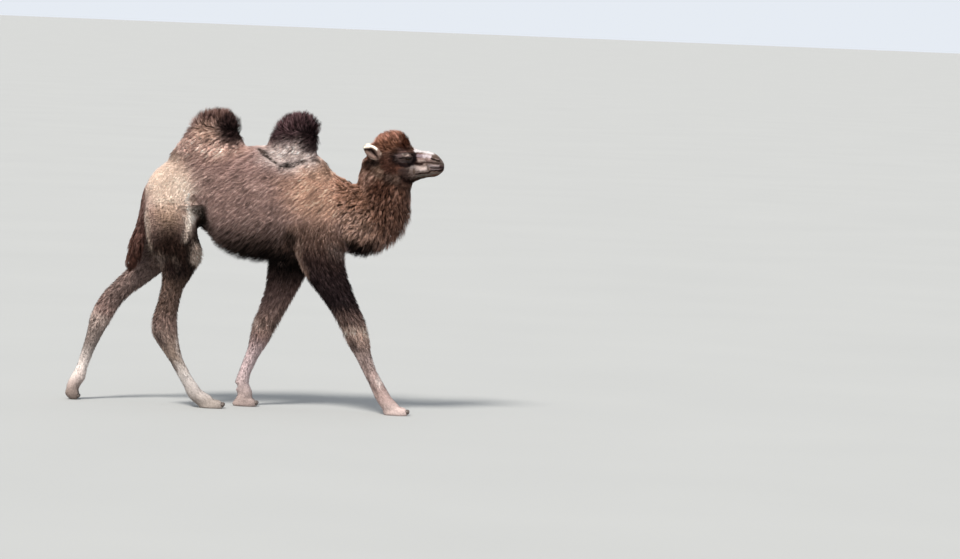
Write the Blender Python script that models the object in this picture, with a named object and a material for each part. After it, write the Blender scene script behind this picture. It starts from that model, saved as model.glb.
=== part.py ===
"""A young bactrian camel in mid stride, life size, as one still museum figure.

The solids give the outline of the animal with its coat on. The flesh is lofted
from rings, fused into one smooth body, and then parted by thin slits into the
pieces a person would name: head, neck, trunk, humps and three lengths of each leg.
Ears, eyes, toenails and the tail are modelled on their own and let into the body.

Metres, +X towards the nose, +Y to the animal's left, +Z up, floor at Z = 0.
"""

import math

import bmesh
import bpy
from mathutils import Matrix, Vector

# ---------------------------------------------------------------- driving sizes
SLIT = 0.0009           # width of the cut between two named pieces
CLEARANCE = 0.0005      # gap round an eye, an ear, a nail or the tail root
SIDES = 22              # points round a lofted ring
RING_STEPS = 4          # rings made between two stations
BLEND_VOXEL = 0.0075    # voxel that fuses the lofts
BLEND_PASSES = 7        # smoothing passes that melt the creases between lofts
FINE_FACES = 10200      # triangles on the fused body at the fineness of head and feet
BODY_FACES = 4500       # triangles left when the rest of it is thinned further
FLOOR_CUT = 0.0         # level at which soles and toes are cut flat
NAIL_CUT = 0.005        # underside of the nails, clear of the floor

FOOT_HEIGHT = 0.085     # height up to which a foot keeps its small faces
EYE_RADIUS = 0.0185
EYE_PLACE = (0.744, 0.0700, 1.285)
LEFT, RIGHT = 1, -1

# Trunk stations from rump to chest: x, underside z, back z, half width.
TRUNK = [
    (-0.566, 0.985, 1.090, 0.060),
    (-0.548, 0.920, 1.136, 0.105),
    (-0.515, 0.870, 1.180, 0.145),
    (-0.450, 0.850, 1.227, 0.172),
    (-0.345, 0.870, 1.258, 0.180),
    (-0.250, 0.870, 1.266, 0.184),
    (-0.190, 0.806, 1.276, 0.192),
    (-0.090, 0.757, 1.302, 0.202),
    (-0.010, 0.742, 1.322, 0.205),
    (0.060, 0.738, 1.314, 0.202),
    (0.150, 0.740, 1.288, 0.194),
    (0.260, 0.755, 1.258, 0.180),
    (0.360, 0.785, 1.212, 0.160),
    (0.430, 0.835, 1.145, 0.130),
]

# Hump stations from the back upwards: x, z, half length, half width.
HUMP_REAR = [
    (-0.235, 1.150, 0.235, 0.135),
    (-0.236, 1.235, 0.222, 0.112),
    (-0.228, 1.310, 0.172, 0.090),
    (-0.222, 1.370, 0.142, 0.080),
    (-0.220, 1.420, 0.128, 0.076),
    (-0.222, 1.460, 0.096, 0.062),
    (-0.224, 1.487, 0.050, 0.036),
]
HUMP_FRONT = [
    (0.172, 1.165, 0.205, 0.128),
    (0.166, 1.235, 0.172, 0.104),
    (0.160, 1.290, 0.134, 0.078),
    (0.172, 1.345, 0.124, 0.078),
    (0.184, 1.400, 0.120, 0.080),
    (0.184, 1.450, 0.100, 0.066),
    (0.180, 1.485, 0.052, 0.036),
]

# Neck stations from the chest to the poll: x, z, half depth, half width.
NECK = [
    (0.200, 1.010, 0.225, 0.160),
    (0.330, 1.000, 0.208, 0.156),
    (0.440, 0.968, 0.182, 0.146),
    (0.528, 0.958, 0.166, 0.138),
    (0.590, 0.992, 0.157, 0.130),
    (0.620, 1.052, 0.150, 0.122),
    (0.628, 1.125, 0.138, 0.112),
    (0.626, 1.200, 0.134, 0.102),
    (0.626, 1.272, 0.124, 0.088),
]

# Head stations from the poll to the lips: x, underside z, top z, half width.
HEAD = [
    (0.534, 1.240, 1.325, 0.040),
    (0.560, 1.175, 1.362, 0.080),
    (0.605, 1.148, 1.406, 0.098),
    (0.655, 1.142, 1.424, 0.100),
    (0.704, 1.146, 1.422, 0.092),
    (0.738, 1.152, 1.394, 0.078),
    (0.760, 1.160, 1.346, 0.067),
    (0.792, 1.172, 1.326, 0.056),
    (0.840, 1.186, 1.322, 0.048),
    (0.880, 1.198, 1.309, 0.046),
    (0.908, 1.212, 1.284, 0.040),
    (0.924, 1.232, 1.262, 0.022),
]

# Leg stations from the body to the fetlock: x, sideways, z, half depth, half width.
HIND_RIGHT = [
    (-0.425, 0.075, 1.090, 0.105, 0.070),
    (-0.435, 0.097, 0.990, 0.131, 0.082),
    (-0.418, 0.112, 0.900, 0.139, 0.086),
    (-0.398, 0.122, 0.815, 0.133, 0.082),
    (-0.378, 0.121, 0.740, 0.110, 0.072),
    (-0.388, 0.117, 0.670, 0.083, 0.060),
    (-0.404, 0.112, 0.605, 0.061, 0.051),
    (-0.419, 0.108, 0.530, 0.058, 0.046),
    (-0.434, 0.104, 0.460, 0.062, 0.045),
    (-0.438, 0.101, 0.390, 0.069, 0.045),
    (-0.417, 0.098, 0.325, 0.056, 0.040),
    (-0.377, 0.095, 0.240, 0.036, 0.034),
    (-0.330, 0.093, 0.155, 0.032, 0.032),
    (-0.293, 0.092, 0.098, 0.035, 0.038),
]
HIND_LEFT = [
    (-0.420, 0.075, 1.090, 0.105, 0.070),
    (-0.438, 0.097, 0.990, 0.130, 0.082),
    (-0.462, 0.112, 0.890, 0.131, 0.084),
    (-0.492, 0.120, 0.800, 0.118, 0.078),
    (-0.530, 0.118, 0.720, 0.092, 0.066),
    (-0.585, 0.114, 0.648, 0.068, 0.054),
    (-0.668, 0.109, 0.572, 0.058, 0.046),
    (-0.731, 0.105, 0.500, 0.059, 0.044),
    (-0.773, 0.102, 0.420, 0.055, 0.044),
    (-0.803, 0.099, 0.335, 0.041, 0.037),
    (-0.834, 0.096, 0.245, 0.033, 0.032),
    (-0.858, 0.094, 0.165, 0.030, 0.032),
    (-0.872, 0.093, 0.118, 0.037, 0.037),
]
FORE_RIGHT = [
    (0.320, 0.085, 1.050, 0.110, 0.070),
    (0.326, 0.108, 0.930, 0.128, 0.080),
    (0.325, 0.116, 0.820, 0.134, 0.078),
    (0.352, 0.115, 0.715, 0.113, 0.070),
    (0.406, 0.112, 0.615, 0.087, 0.061),
    (0.460, 0.107, 0.520, 0.073, 0.054),
    (0.504, 0.102, 0.435, 0.067, 0.052),
    (0.528, 0.098, 0.368, 0.060, 0.051),
    (0.556, 0.095, 0.298, 0.043, 0.042),
    (0.592, 0.092, 0.215, 0.035, 0.034),
    (0.630, 0.090, 0.145, 0.036, 0.037),
    (0.656, 0.089, 0.098, 0.039, 0.040),
]
FORE_LEFT = [
    (0.200, 0.085, 1.000, 0.110, 0.070),
    (0.185, 0.108, 0.890, 0.122, 0.078),
    (0.168, 0.114, 0.780, 0.120, 0.074),
    (0.150, 0.113, 0.685, 0.106, 0.066),
    (0.120, 0.110, 0.580, 0.083, 0.058),
    (0.078, 0.105, 0.475, 0.069, 0.053),
    (0.046, 0.101, 0.405, 0.062, 0.052),
    (0.028, 0.098, 0.345, 0.053, 0.050),
    (-0.004, 0.094, 0.262, 0.037, 0.038),
    (-0.040, 0.091, 0.170, 0.033, 0.034),
    (-0.056, 0.090, 0.105, 0.038, 0.040),
]

# Tail stations from the root to the tuft: x, z, half depth, half width.
TAIL = [
    (-0.505, 1.130, 0.030, 0.030),
    (-0.550, 1.080, 0.027, 0.028),
    (-0.566, 0.990, 0.022, 0.024),
    (-0.578, 0.900, 0.027, 0.026),
    (-0.596, 0.810, 0.039, 0.034),
    (-0.615, 0.730, 0.042, 0.036),
    (-0.629, 0.672, 0.027, 0.024),
    (-0.635, 0.650, 0.012, 0.012),
]


# ------------------------------------------------------------- building helpers
def clear_scene():
    for thing in list(bpy.data.objects):
        bpy.data.objects.remove(thing, do_unlink=True)


def material(name, colour, roughness):
    made = bpy.data.materials.get(name)
    if made is None:
        made = bpy.data.materials.new(name)
        made.use_nodes = True
        shader = made.node_tree.nodes["Principled BSDF"]
        shader.inputs["Base Color"].default_value = (*colour, 1.0)
        shader.inputs["Roughness"].default_value = roughness
        shader.inputs["Metallic"].default_value = 0.0
    return made


def paint(thing, name, colour, roughness=0.9):
    thing.data.materials.clear()
    thing.data.materials.append(material(name, colour, roughness))
    thing.data.shade_smooth()
    thing.data.set_sharp_from_angle(angle=math.radians(50))


def new_object(name, bm):
    mesh = bpy.data.meshes.new(name)
    bm.to_mesh(mesh)
    bm.free()
    made = bpy.data.objects.new(name, mesh)
    bpy.context.scene.collection.objects.link(made)
    return made


def smooth_between(a, b, c, d, share):
    """Catmull-Rom value between b and c, for each number of the stations."""
    return tuple(
        0.5
        * (
            2 * q
            + (r - p) * share
            + (2 * p - 5 * q + 4 * r - s) * share**2
            + (3 * q - p - 3 * r + s) * share**3
        )
        for p, q, r, s in zip(a, b, c, d)
    )


def refined(stations, steps):
    """The stations with steps - 1 smooth ones added between each two."""
    rows = []
    last = len(stations) - 1
    for i in range(last):
        around = [stations[min(max(i + k, 0), last)] for k in (-1, 0, 1, 2)]
        rows += [smooth_between(*around, step / steps) for step in range(steps)]
    rows.append(stations[last])
    return rows


def loft(name, stations, ridge=0.0, upright=False, sides=SIDES, steps=RING_STEPS):
    """A closed tube through (x, y, z, half depth, half width) stations.

    Depth lies in the side view, square to the path, and width across it.
    Upright rings all stand square to X. A ridge above 0 narrows the upper side
    of each ring.
    """
    rows = refined(stations, steps)
    bm = bmesh.new()
    rings = []
    for i, (x, y, z, depth, width) in enumerate(rows):
        before, after = rows[max(i - 1, 0)], rows[min(i + 1, len(rows) - 1)]
        along = Vector((1, 0, 0)) if upright else Vector(after[:3]) - Vector(before[:3])
        along.normalize()
        aside = (Vector((0, 1, 0)) - along * along.y).normalized()
        up = along.cross(aside)
        ring = []
        for k in range(sides):
            turn = 2 * math.pi * k / sides
            lean = 1 - ridge * math.sin(turn)
            out = aside * (width * math.cos(turn) * lean) + up * (depth * math.sin(turn))
            ring.append(bm.verts.new(Vector((x, y, z)) + out))
        rings.append(ring)
    for first, second in zip(rings, rings[1:]):
        for k in range(sides):
            n = (k + 1) % sides
            bm.faces.new((first[k], first[n], second[n], second[k]))
    bm.faces.new(rings[0][::-1])
    bm.faces.new(rings[-1])
    bmesh.ops.recalc_face_normals(bm, faces=bm.faces)
    return new_object(name, bm)


def lofted_along_x(name, stations, ridge):
    """A loft of upright rings from (x, underside z, top z, half width) stations."""
    rows = [(x, 0.0, (low + high) / 2, (high - low) / 2, wide) for x, low, high, wide in stations]
    return loft(name, rows, ridge, upright=True)


def lofted_in_side_view(name, stations, **how):
    """A loft on the middle plane from (x, z, half depth, half width) stations."""
    return loft(name, [(x, 0.0, z, depth, wide) for x, z, depth, wide in stations], **how)


def ball(name, centre, radii, turn_y=0.0, turn_z=0.0, segments=18):
    """An ellipsoid, turned about Y and then about Z."""
    bm = bmesh.new()
    bmesh.ops.create_uvsphere(bm, u_segments=segments, v_segments=segments // 2, radius=1.0)
    place = (
        Matrix.Translation(centre)
        @ Matrix.Rotation(turn_z, 4, "Z")
        @ Matrix.Rotation(turn_y, 4, "Y")
        @ Matrix.Diagonal((*radii, 1.0))
    )
    bmesh.ops.transform(bm, matrix=place, verts=bm.verts)
    return new_object(name, bm)


def block(name, low, high):
    """A plain box between two corners."""
    bm = bmesh.new()
    bmesh.ops.create_cube(bm, size=1.0)
    low, high = Vector(low), Vector(high)
    bmesh.ops.transform(
        bm,
        matrix=Matrix.Translation((low + high) / 2) @ Matrix.Diagonal((*(high - low), 1.0)),
        verts=bm.verts,
    )
    return new_object(name, bm)


def apply_modifiers(thing):
    bpy.ops.object.select_all(action="DESELECT")
    thing.select_set(True)
    bpy.context.view_layer.objects.active = thing
    for modifier in list(thing.modifiers):
        bpy.ops.object.modifier_apply(modifier=modifier.name)


def joined(name, things):
    bpy.ops.object.select_all(action="DESELECT")
    for thing in things:
        thing.select_set(True)
    bpy.context.view_layer.objects.active = things[0]
    bpy.ops.object.join()
    made = bpy.context.view_layer.objects.active
    made.name = name
    return made


def cut_away(thing, cutter):
    """Takes the cutter's shape out of the thing, and removes the cutter."""
    cut = thing.modifiers.new("Cut", "BOOLEAN")
    cut.operation = "DIFFERENCE"
    cut.solver = "EXACT"
    cut.object = cutter
    apply_modifiers(thing)
    bpy.data.objects.remove(cutter, do_unlink=True)


def grown_copy(thing, gap):
    """A copy of a solid that is bigger by the gap all round."""
    copy = thing.copy()
    copy.data = thing.data.copy()
    bpy.context.scene.collection.objects.link(copy)
    swell = copy.modifiers.new("Swell", "DISPLACE")
    swell.strength = gap
    swell.mid_level = 0.0
    apply_modifiers(copy)
    return copy


def let_in(piece, host):
    """Cuts a seat for the piece into its host, with a clearance all round."""
    cut_away(host, grown_copy(piece, CLEARANCE))


def loose_parts(thing):
    bpy.ops.object.select_all(action="DESELECT")
    thing.select_set(True)
    bpy.context.view_layer.objects.active = thing
    bpy.ops.object.mode_set(mode="EDIT")
    bpy.ops.mesh.select_all(action="SELECT")
    bpy.ops.mesh.separate(type="LOOSE")
    bpy.ops.object.mode_set(mode="OBJECT")
    return list(bpy.context.selected_objects)


def middle(thing):
    points = [v.co for v in thing.data.vertices]
    return sum(points, Vector()) / len(points)


# -------------------------------------------------------------------- the flesh
def leg(name, side, stations):
    return loft(name, [(x, side * y, z, deep, wide) for x, y, z, deep, wide in stations])


def planted_foot(name, side, fetlock, toe_x, sideways):
    """A broad two-toed pad, flat on the floor, under a sloping pastern."""
    y = side * sideways
    pieces = [
        loft(
            name + "_pastern",
            [
                (*fetlock, 0.038, 0.039),
                (fetlock[0] + 0.024, y, 0.062, 0.037, 0.041),
                (toe_x - 0.082, y, 0.022, 0.040, 0.044),
            ],
        ),
        ball(name + "_pad", (toe_x - 0.081, y, 0.012), (0.055, 0.048, 0.029)),
    ]
    for part in (LEFT, RIGHT):
        toe_y = y + part * 0.0245
        pieces.append(ball(name + "_toe", (toe_x - 0.051, toe_y, 0.013), (0.047, 0.0255, 0.030)))
    return pieces


def toe_off_foot(name, side, fetlock, toe_x, sideways):
    """The trailing foot, bent at the fetlock and standing on its toe tips."""
    y = side * sideways
    pieces = [
        loft(
            name + "_pastern",
            [
                (*fetlock, 0.037, 0.038),
                (fetlock[0] - 0.024, y, 0.080, 0.034, 0.039),
                (toe_x - 0.044, y, 0.046, 0.034, 0.043),
            ],
        )
    ]
    for part in (LEFT, RIGHT):
        toe_y = y + part * 0.0235
        pieces.append(
            ball(name + "_toe", (toe_x - 0.040, toe_y, 0.028), (0.042, 0.0245, 0.030), turn_y=0.45)
        )
    return pieces


FEET = {
    "fore_right": (planted_foot, RIGHT, FORE_RIGHT, 0.800),
    "fore_left": (planted_foot, LEFT, FORE_LEFT, 0.036),
    "hind_right": (planted_foot, RIGHT, HIND_RIGHT, -0.122),
    "hind_left": (toe_off_foot, LEFT, HIND_LEFT, -0.862),
}


def flesh():
    """Every fleshy shape, overlapping, before they are fused."""
    shapes = [
        lofted_along_x("trunk", TRUNK, ridge=0.16),
        lofted_in_side_view("hump_rear", HUMP_REAR),
        lofted_in_side_view("hump_front", HUMP_FRONT),
        lofted_in_side_view("neck", NECK, ridge=0.10),
        lofted_along_x("head", HEAD, ridge=0.10),
        leg("hind_right", RIGHT, HIND_RIGHT),
        leg("hind_left", LEFT, HIND_LEFT),
        leg("fore_right", RIGHT, FORE_RIGHT),
        leg("fore_left", LEFT, FORE_LEFT),
        ball("brisket_pad", (0.140, 0.0, 0.748), (0.060, 0.050, 0.030)),
        ball("upper_lip", (0.889, 0.0, 1.241), (0.038, 0.046, 0.036)),
        ball("lower_lip", (0.872, 0.0, 1.209), (0.038, 0.034, 0.019), turn_y=-0.25),
    ]
    for side in (LEFT, RIGHT):
        x, y, z = EYE_PLACE
        shapes += [
            ball("orbit", (x - 0.006, side * 0.053, z), (0.042, 0.030, 0.036)),
            ball("brow", (x - 0.010, side * 0.064, z + 0.027), (0.038, 0.024, 0.015), turn_y=0.15),
            ball("cheek", (0.672, side * 0.056, 1.218), (0.072, 0.045, 0.062)),
            ball("nostril_wing", (0.886, side * 0.030, 1.267), (0.025, 0.018, 0.019)),
        ]
    for name, (build, side, stations, toe_x) in FEET.items():
        x, sideways, z = stations[-1][:3]
        shapes += build(name, side, (x, side * sideways, z), toe_x, sideways)
    return shapes


def thinned(body, triangles, group=""):
    """Fewer, larger triangles where the surface is flattest; a group limits where."""
    thin = body.modifiers.new("Thin", "DECIMATE")
    thin.vertex_group = group
    thin.ratio = triangles / sum(len(face.vertices) - 2 for face in body.data.polygons)
    apply_modifiers(body)


def fused_body():
    body = joined("body", flesh())
    fuse = body.modifiers.new("Fuse", "REMESH")
    fuse.mode = "VOXEL"
    fuse.voxel_size = BLEND_VOXEL
    melt = body.modifiers.new("Melt", "SMOOTH")
    melt.factor = 0.5
    melt.iterations = BLEND_PASSES
    apply_modifiers(body)
    thinned(body, FINE_FACES)
    plain = body.vertex_groups.new(name="plain")
    for vertex in body.data.vertices:
        x, _, z = vertex.co
        on_head = x > HEAD[0][0] - 0.03 and z > 1.12
        on_foot = z < FOOT_HEIGHT
        plain.add([vertex.index], 0.0 if on_head or on_foot else 1.0, "REPLACE")
    thinned(body, BODY_FACES, "plain")
    body.vertex_groups.clear()
    cut_away(body, block("floor", (-2, -1, -1), (2, 1, FLOOR_CUT)))
    return body


# ------------------------------------------------------------------- the slits
def plate(corners, start, sweep):
    """A thin folded plate: corners (x, z) of its line in side view, swept sideways.

    start and sweep are (y, rise): where the sweep begins and how far it goes.
    """
    bm = bmesh.new()
    rows = []
    for share in (0.0, 1.0):
        y = start[0] + sweep[0] * share
        rise = start[1] + sweep[1] * share
        rows.append([bm.verts.new((x, y, z + rise)) for x, z in corners])
    for k in range(len(corners) - 1):
        bm.faces.new((rows[0][k], rows[0][k + 1], rows[1][k + 1], rows[1][k]))
    made = new_object("slit", bm)
    wall = made.modifiers.new("Wall", "SOLIDIFY")
    wall.thickness = SLIT
    wall.offset = 0.0
    apply_modifiers(made)
    return made


def across(*corners):
    """A slit through the whole width of the body."""
    return plate(corners, (-0.30, 0.0), (0.60, 0.0))


def leg_slit(side, corners):
    """A slit that rises outwards, between the body and the top of one leg."""
    return plate(corners, (0.0, 0.0), (side * 0.27, 0.378))


def joint_slit(side, place, direction, reach=0.13):
    """A slit square to a leg, through (x, z), where direction is the leg's run."""
    run = Vector(direction).normalized()
    square = Vector((-run.y, run.x)) * reach
    x, z = place
    corners = [(x - square.x, z - square.y), (x + square.x, z + square.y)]
    return plate(corners, (side * 0.004, 0.0), (side * 0.22, 0.0))


def slits():
    """What parts each large piece from the rest: name, slit, a point in that piece."""
    return [
        ("hump_rear", across((-0.56, 1.262), (-0.14, 1.285), (-0.02, 1.360)), (-0.22, 0, 1.37)),
        ("hump_front", across((0.00, 1.360), (0.08, 1.295), (0.42, 1.258)), (0.18, 0, 1.37)),
        ("head", across((0.46, 1.262), (0.83, 1.085)), (0.74, 0, 1.27)),
        ("neck", across((0.355, 1.36), (0.432, 0.885), (0.545, 0.735)), (0.60, 0, 1.00)),
        (
            "hind_right_thigh",
            leg_slit(RIGHT, [(-0.70, 0.86), (-0.24, 0.78), (-0.16, 0.56)]),
            (-0.42, -0.11, 0.60),
        ),
        (
            "hind_left_thigh",
            leg_slit(LEFT, [(-0.70, 0.86), (-0.24, 0.78), (-0.16, 0.56)]),
            (-0.60, 0.11, 0.60),
        ),
        (
            "fore_right_arm",
            leg_slit(RIGHT, [(0.08, 0.50), (0.18, 0.70), (0.43, 0.72), (0.58, 0.46)]),
            (0.45, -0.11, 0.50),
        ),
        (
            "fore_left_arm",
            leg_slit(LEFT, [(-0.10, 0.50), (0.02, 0.70), (0.30, 0.70), (0.42, 0.48)]),
            (0.10, 0.11, 0.50),
        ),
    ]


# Slits inside a leg: piece cut, side, place (x, z), run of the leg, name of the lower piece.
LEG_JOINTS = [
    ("hind_right_thigh", RIGHT, (-0.437, 0.400), (0.02, -1.0), "hind_right_shank"),
    ("hind_right_shank", RIGHT, (-0.300, 0.104), (0.55, -1.0), "hind_right_foot"),
    ("hind_left_thigh", LEFT, (-0.766, 0.440), (-0.42, -1.0), "hind_left_shank"),
    ("hind_left_shank", LEFT, (-0.872, 0.122), (-0.35, -1.0), "hind_left_foot"),
    ("fore_right_arm", RIGHT, (0.524, 0.385), (0.38, -1.0), "fore_right_shank"),
    ("fore_right_shank", RIGHT, (0.655, 0.104), (0.50, -1.0), "fore_right_foot"),
    ("fore_left_arm", LEFT, (0.036, 0.375), (-0.32, -1.0), "fore_left_shank"),
    ("fore_left_shank", LEFT, (-0.056, 0.104), (-0.05, -1.0), "fore_left_foot"),
]


def part_off(rest, slit, name, place):
    """Cuts the slit and gives the loose part nearest to place its name."""
    cut_away(rest, slit)
    parts = sorted(loose_parts(rest), key=lambda p: (middle(p) - Vector(place)).length)
    cut, others = parts[0], parts[1:]
    others.sort(key=lambda p: len(p.data.polygons))
    for crumb in others[:-1]:
        bpy.data.objects.remove(crumb, do_unlink=True)
    cut.name = cut.data.name = name
    return cut, others[-1]


def parted_body():
    """The fused body as a dictionary of named pieces."""
    pieces = {}
    rest = fused_body()
    for name, slit, place in slits():
        pieces[name], rest = part_off(rest, slit, name, place)
    rest.name = rest.data.name = "trunk"
    pieces["trunk"] = rest
    for upper, side, place, run, lower in LEG_JOINTS:
        below = Vector((place[0] + run[0] * 0.08, side * 0.1, place[1] + run[1] * 0.08))
        slit = joint_slit(side, place, run)
        pieces[lower], pieces[upper] = part_off(pieces[upper], slit, lower, below)
        pieces[upper].name = pieces[upper].data.name = upper
    return pieces


# ------------------------------------------------- eyes, ears, nails and tail
def eye(side):
    x, y, z = EYE_PLACE
    name = "eye_left" if side == LEFT else "eye_right"
    return ball(name, (x, side * y, z), (EYE_RADIUS,) * 3, segments=14)


def ear(side, head):
    """A short leaf-shaped ear, hollowed on its outer face."""
    name = "ear_left" if side == LEFT else "ear_right"
    made = loft(
        name,
        [
            (0.622, side * 0.070, 1.272, 0.016, 0.012),
            (0.600, side * 0.090, 1.284, 0.026, 0.014),
            (0.572, side * 0.108, 1.303, 0.034, 0.015),
            (0.544, side * 0.122, 1.322, 0.028, 0.013),
            (0.522, side * 0.130, 1.336, 0.010, 0.007),
        ],
        sides=10,
        steps=2,
    )
    hollow = ball(
        "hollow",
        (0.570, side * 0.126, 1.300),
        (0.042, 0.016, 0.019),
        turn_y=0.62,
        turn_z=side * -0.50,
        segments=10,
    )
    cut_away(made, hollow)
    cut_away(made, grown_copy(head, CLEARANCE))
    return max(loose_parts(made), key=lambda p: len(p.data.polygons))


def nails(foot, name, side, toe_x, sideways):
    """Two toenails let into the front of a foot."""
    made = []
    for part, word in ((LEFT, "left"), (RIGHT, "right")):
        y = side * sideways + part * 0.0240
        nail = ball(
            f"{name}_nail_{word}", (toe_x - 0.013, y, 0.018), (0.013, 0.0125, 0.011), 0.40, 0.0, 10
        )
        cut_away(nail, block("underside", (-2, -1, -1), (2, 1, NAIL_CUT)))
        let_in(nail, foot)
        paint(nail, "nail", (0.09, 0.07, 0.06), 0.45)
        made.append(nail)
    return made


def tail(body_pieces):
    made = lofted_in_side_view("tail", TAIL, sides=10, steps=2)
    for piece in body_pieces:
        cut_away(made, grown_copy(piece, CLEARANCE))
    return max(loose_parts(made), key=lambda p: len(p.data.polygons))


COLOURS = {
    "trunk": (0.20, 0.145, 0.115),
    "hump": (0.085, 0.055, 0.048),
    "neck": (0.185, 0.115, 0.080),
    "head": (0.200, 0.120, 0.085),
    "thigh": (0.420, 0.330, 0.255),
    "arm": (0.100, 0.070, 0.060),
    "shank": (0.330, 0.265, 0.235),
    "foot": (0.450, 0.370, 0.330),
}


def colour_of(name):
    key = next(word for word in COLOURS if word in name)
    return "coat_" + key, COLOURS[key]


def stand_on_origin(things):
    """Moves the whole animal so that its box stands centred on the origin."""
    points = [v.co for thing in things for v in thing.data.vertices]
    low = [min(p[k] for p in points) for k in range(3)]
    high = [max(p[k] for p in points) for k in range(3)]
    shift = Vector((-(low[0] + high[0]) / 2, -(low[1] + high[1]) / 2, -low[2]))
    for thing in things:
        thing.data.transform(Matrix.Translation(shift))
    print("moved by", [round(s, 4) for s in shift])


def main():
    clear_scene()
    pieces = parted_body()
    for side in (LEFT, RIGHT):
        ball_of_eye = eye(side)
        let_in(ball_of_eye, pieces["head"])
        paint(ball_of_eye, "eye", (0.025, 0.015, 0.010), 0.08)
        ear_piece = ear(side, pieces["head"])
        paint(ear_piece, "coat_ear", (0.33, 0.26, 0.21))
        pieces[ball_of_eye.name] = ball_of_eye
        pieces[ear_piece.name] = ear_piece
    tail_piece = tail([pieces["trunk"], pieces["hind_right_thigh"], pieces["hind_left_thigh"]])
    paint(tail_piece, "coat_tail", (0.10, 0.065, 0.055))
    pieces["tail"] = tail_piece
    for name, (_, side, stations, toe_x) in FEET.items():
        foot = pieces[name + "_foot"]
        for nail in nails(foot, name, side, toe_x, stations[-1][1]):
            pieces[nail.name] = nail
    for name, piece in pieces.items():
        if not piece.data.materials:
            paint(piece, *colour_of(name))
    stand_on_origin(list(pieces.values()))


main()
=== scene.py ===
# %% [markdown]
# # A young bactrian camel in its coat
#
# The solids of this part give the animal's outline out to the tips of its hair. Here they get their
# looks. One skin is drawn inside them, with lids, lips and nostrils, and a coat of tufts grows on
# it until it fills the outline again. Everything is in metres in the frame of the solids: +X runs
# towards the nose, +Y to the animal's left, and the floor is at Z = 0.

# %% Load the frame
import math

import bpy
import numpy as np
from mathutils import Matrix, Vector
from mathutils.bvhtree import BVHTree
from mathutils.kdtree import KDTree


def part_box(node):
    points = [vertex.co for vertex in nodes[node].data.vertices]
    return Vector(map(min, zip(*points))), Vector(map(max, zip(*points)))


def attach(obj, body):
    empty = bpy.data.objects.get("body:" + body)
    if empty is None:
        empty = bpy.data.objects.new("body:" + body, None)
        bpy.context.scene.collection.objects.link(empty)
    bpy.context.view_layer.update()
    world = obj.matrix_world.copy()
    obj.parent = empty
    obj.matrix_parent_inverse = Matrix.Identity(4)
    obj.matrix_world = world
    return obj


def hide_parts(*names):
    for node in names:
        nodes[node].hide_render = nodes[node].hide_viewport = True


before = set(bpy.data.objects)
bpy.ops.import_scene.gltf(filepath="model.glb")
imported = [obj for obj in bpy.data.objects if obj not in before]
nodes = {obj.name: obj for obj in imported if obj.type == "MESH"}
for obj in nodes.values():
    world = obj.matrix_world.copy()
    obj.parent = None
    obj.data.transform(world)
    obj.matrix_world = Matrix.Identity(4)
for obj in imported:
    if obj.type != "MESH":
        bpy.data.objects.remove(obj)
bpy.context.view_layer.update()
flesh = sorted(name for name in nodes if "eye" not in name and "nail" not in name)


def add_object(name, data):
    made = bpy.data.objects.new(name, data)
    bpy.context.scene.collection.objects.link(made)
    return made


print("solids:", len(nodes), "of which flesh:", len(flesh))

# %% [markdown]
# ## The camera, the light and the floor
#
# A long lens far away keeps the animal's proportions nearly true, and a slight roll lets the ground
# fall away to the right. The light is a soft studio: a bright sky all round and one large lamp high
# on the animal's right, for the sunny side of the coat.

# %% Camera
AIM = Vector((1.13, 0.0, 0.689))
DISTANCE = 22.0
ELEVATION = math.radians(3.5)
ROLL = math.radians(2.3)
LENS = 165.0

look = Vector((0, math.cos(ELEVATION), -math.sin(ELEVATION)))
level_up = Vector((0, math.sin(ELEVATION), math.cos(ELEVATION)))
right = Vector((1, 0, 0)) * math.cos(ROLL) + level_up * math.sin(ROLL)
up = level_up * math.cos(ROLL) - Vector((1, 0, 0)) * math.sin(ROLL)
camera = add_object("camera", bpy.data.cameras.new("camera"))
camera.data.lens = LENS
camera.data.clip_end = 2000
turn = Matrix((right, up, -look)).transposed().to_4x4()
camera.matrix_world = Matrix.Translation(AIM - look * DISTANCE) @ turn
bpy.context.scene.camera = camera
print("camera at", [round(value, 2) for value in camera.location])

# %% Lamp and sky
sun = add_object("key", bpy.data.lights.new("key", "SUN"))
sun.data.energy = 5.5
sun.data.angle = math.radians(14)
sun.data.color = (1.0, 0.96, 0.9)
sun.rotation_euler = Vector((0.28, 0.52, -0.81)).to_track_quat("-Z", "Y").to_euler()
world = bpy.data.worlds.new("studio")
bpy.context.scene.world = world
world.use_nodes = True
sky = world.node_tree.nodes["Background"].inputs
sky["Color"].default_value = (0.88, 0.93, 1.0, 1)
sky["Strength"].default_value = 0.9
bpy.context.scene.view_settings.view_transform = "Standard"
print("lamp:", sun.name, "and a pale sky")

# %% [markdown]
# ## Small helpers
#
# Operators act on whatever is selected, so each one is given a clean selection first. Points are
# handled as arrays: a skin of a hundred thousand corners is moved in one line that way. In the
# tables of creases and markings, places and sizes are in millimetres and colours in thousandths;
# `thousandths` turns them into metres and shares.


# %% Helpers for selecting, reading and moving meshes
def select_only(*things):
    for other in list(bpy.context.selected_objects):
        other.select_set(False)
    for thing in things:
        thing.select_set(True)
    if things:
        bpy.context.view_layer.objects.active = things[0]


def in_edit_mode(thing, *steps):
    """Runs steps on all the faces of a mesh."""
    select_only(thing)
    bpy.ops.object.mode_set(mode="EDIT")
    bpy.ops.mesh.select_all(action="SELECT")
    for step in steps:
        step()
    bpy.ops.object.mode_set(mode="OBJECT")


def copy_of(solid):
    """A copy of a solid that no longer belongs to the frame."""
    twin = solid.copy()
    twin.data = solid.data.copy()
    twin.parent = None
    for key in list(twin.keys()):
        del twin[key]
    bpy.context.scene.collection.objects.link(twin)
    return twin


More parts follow.
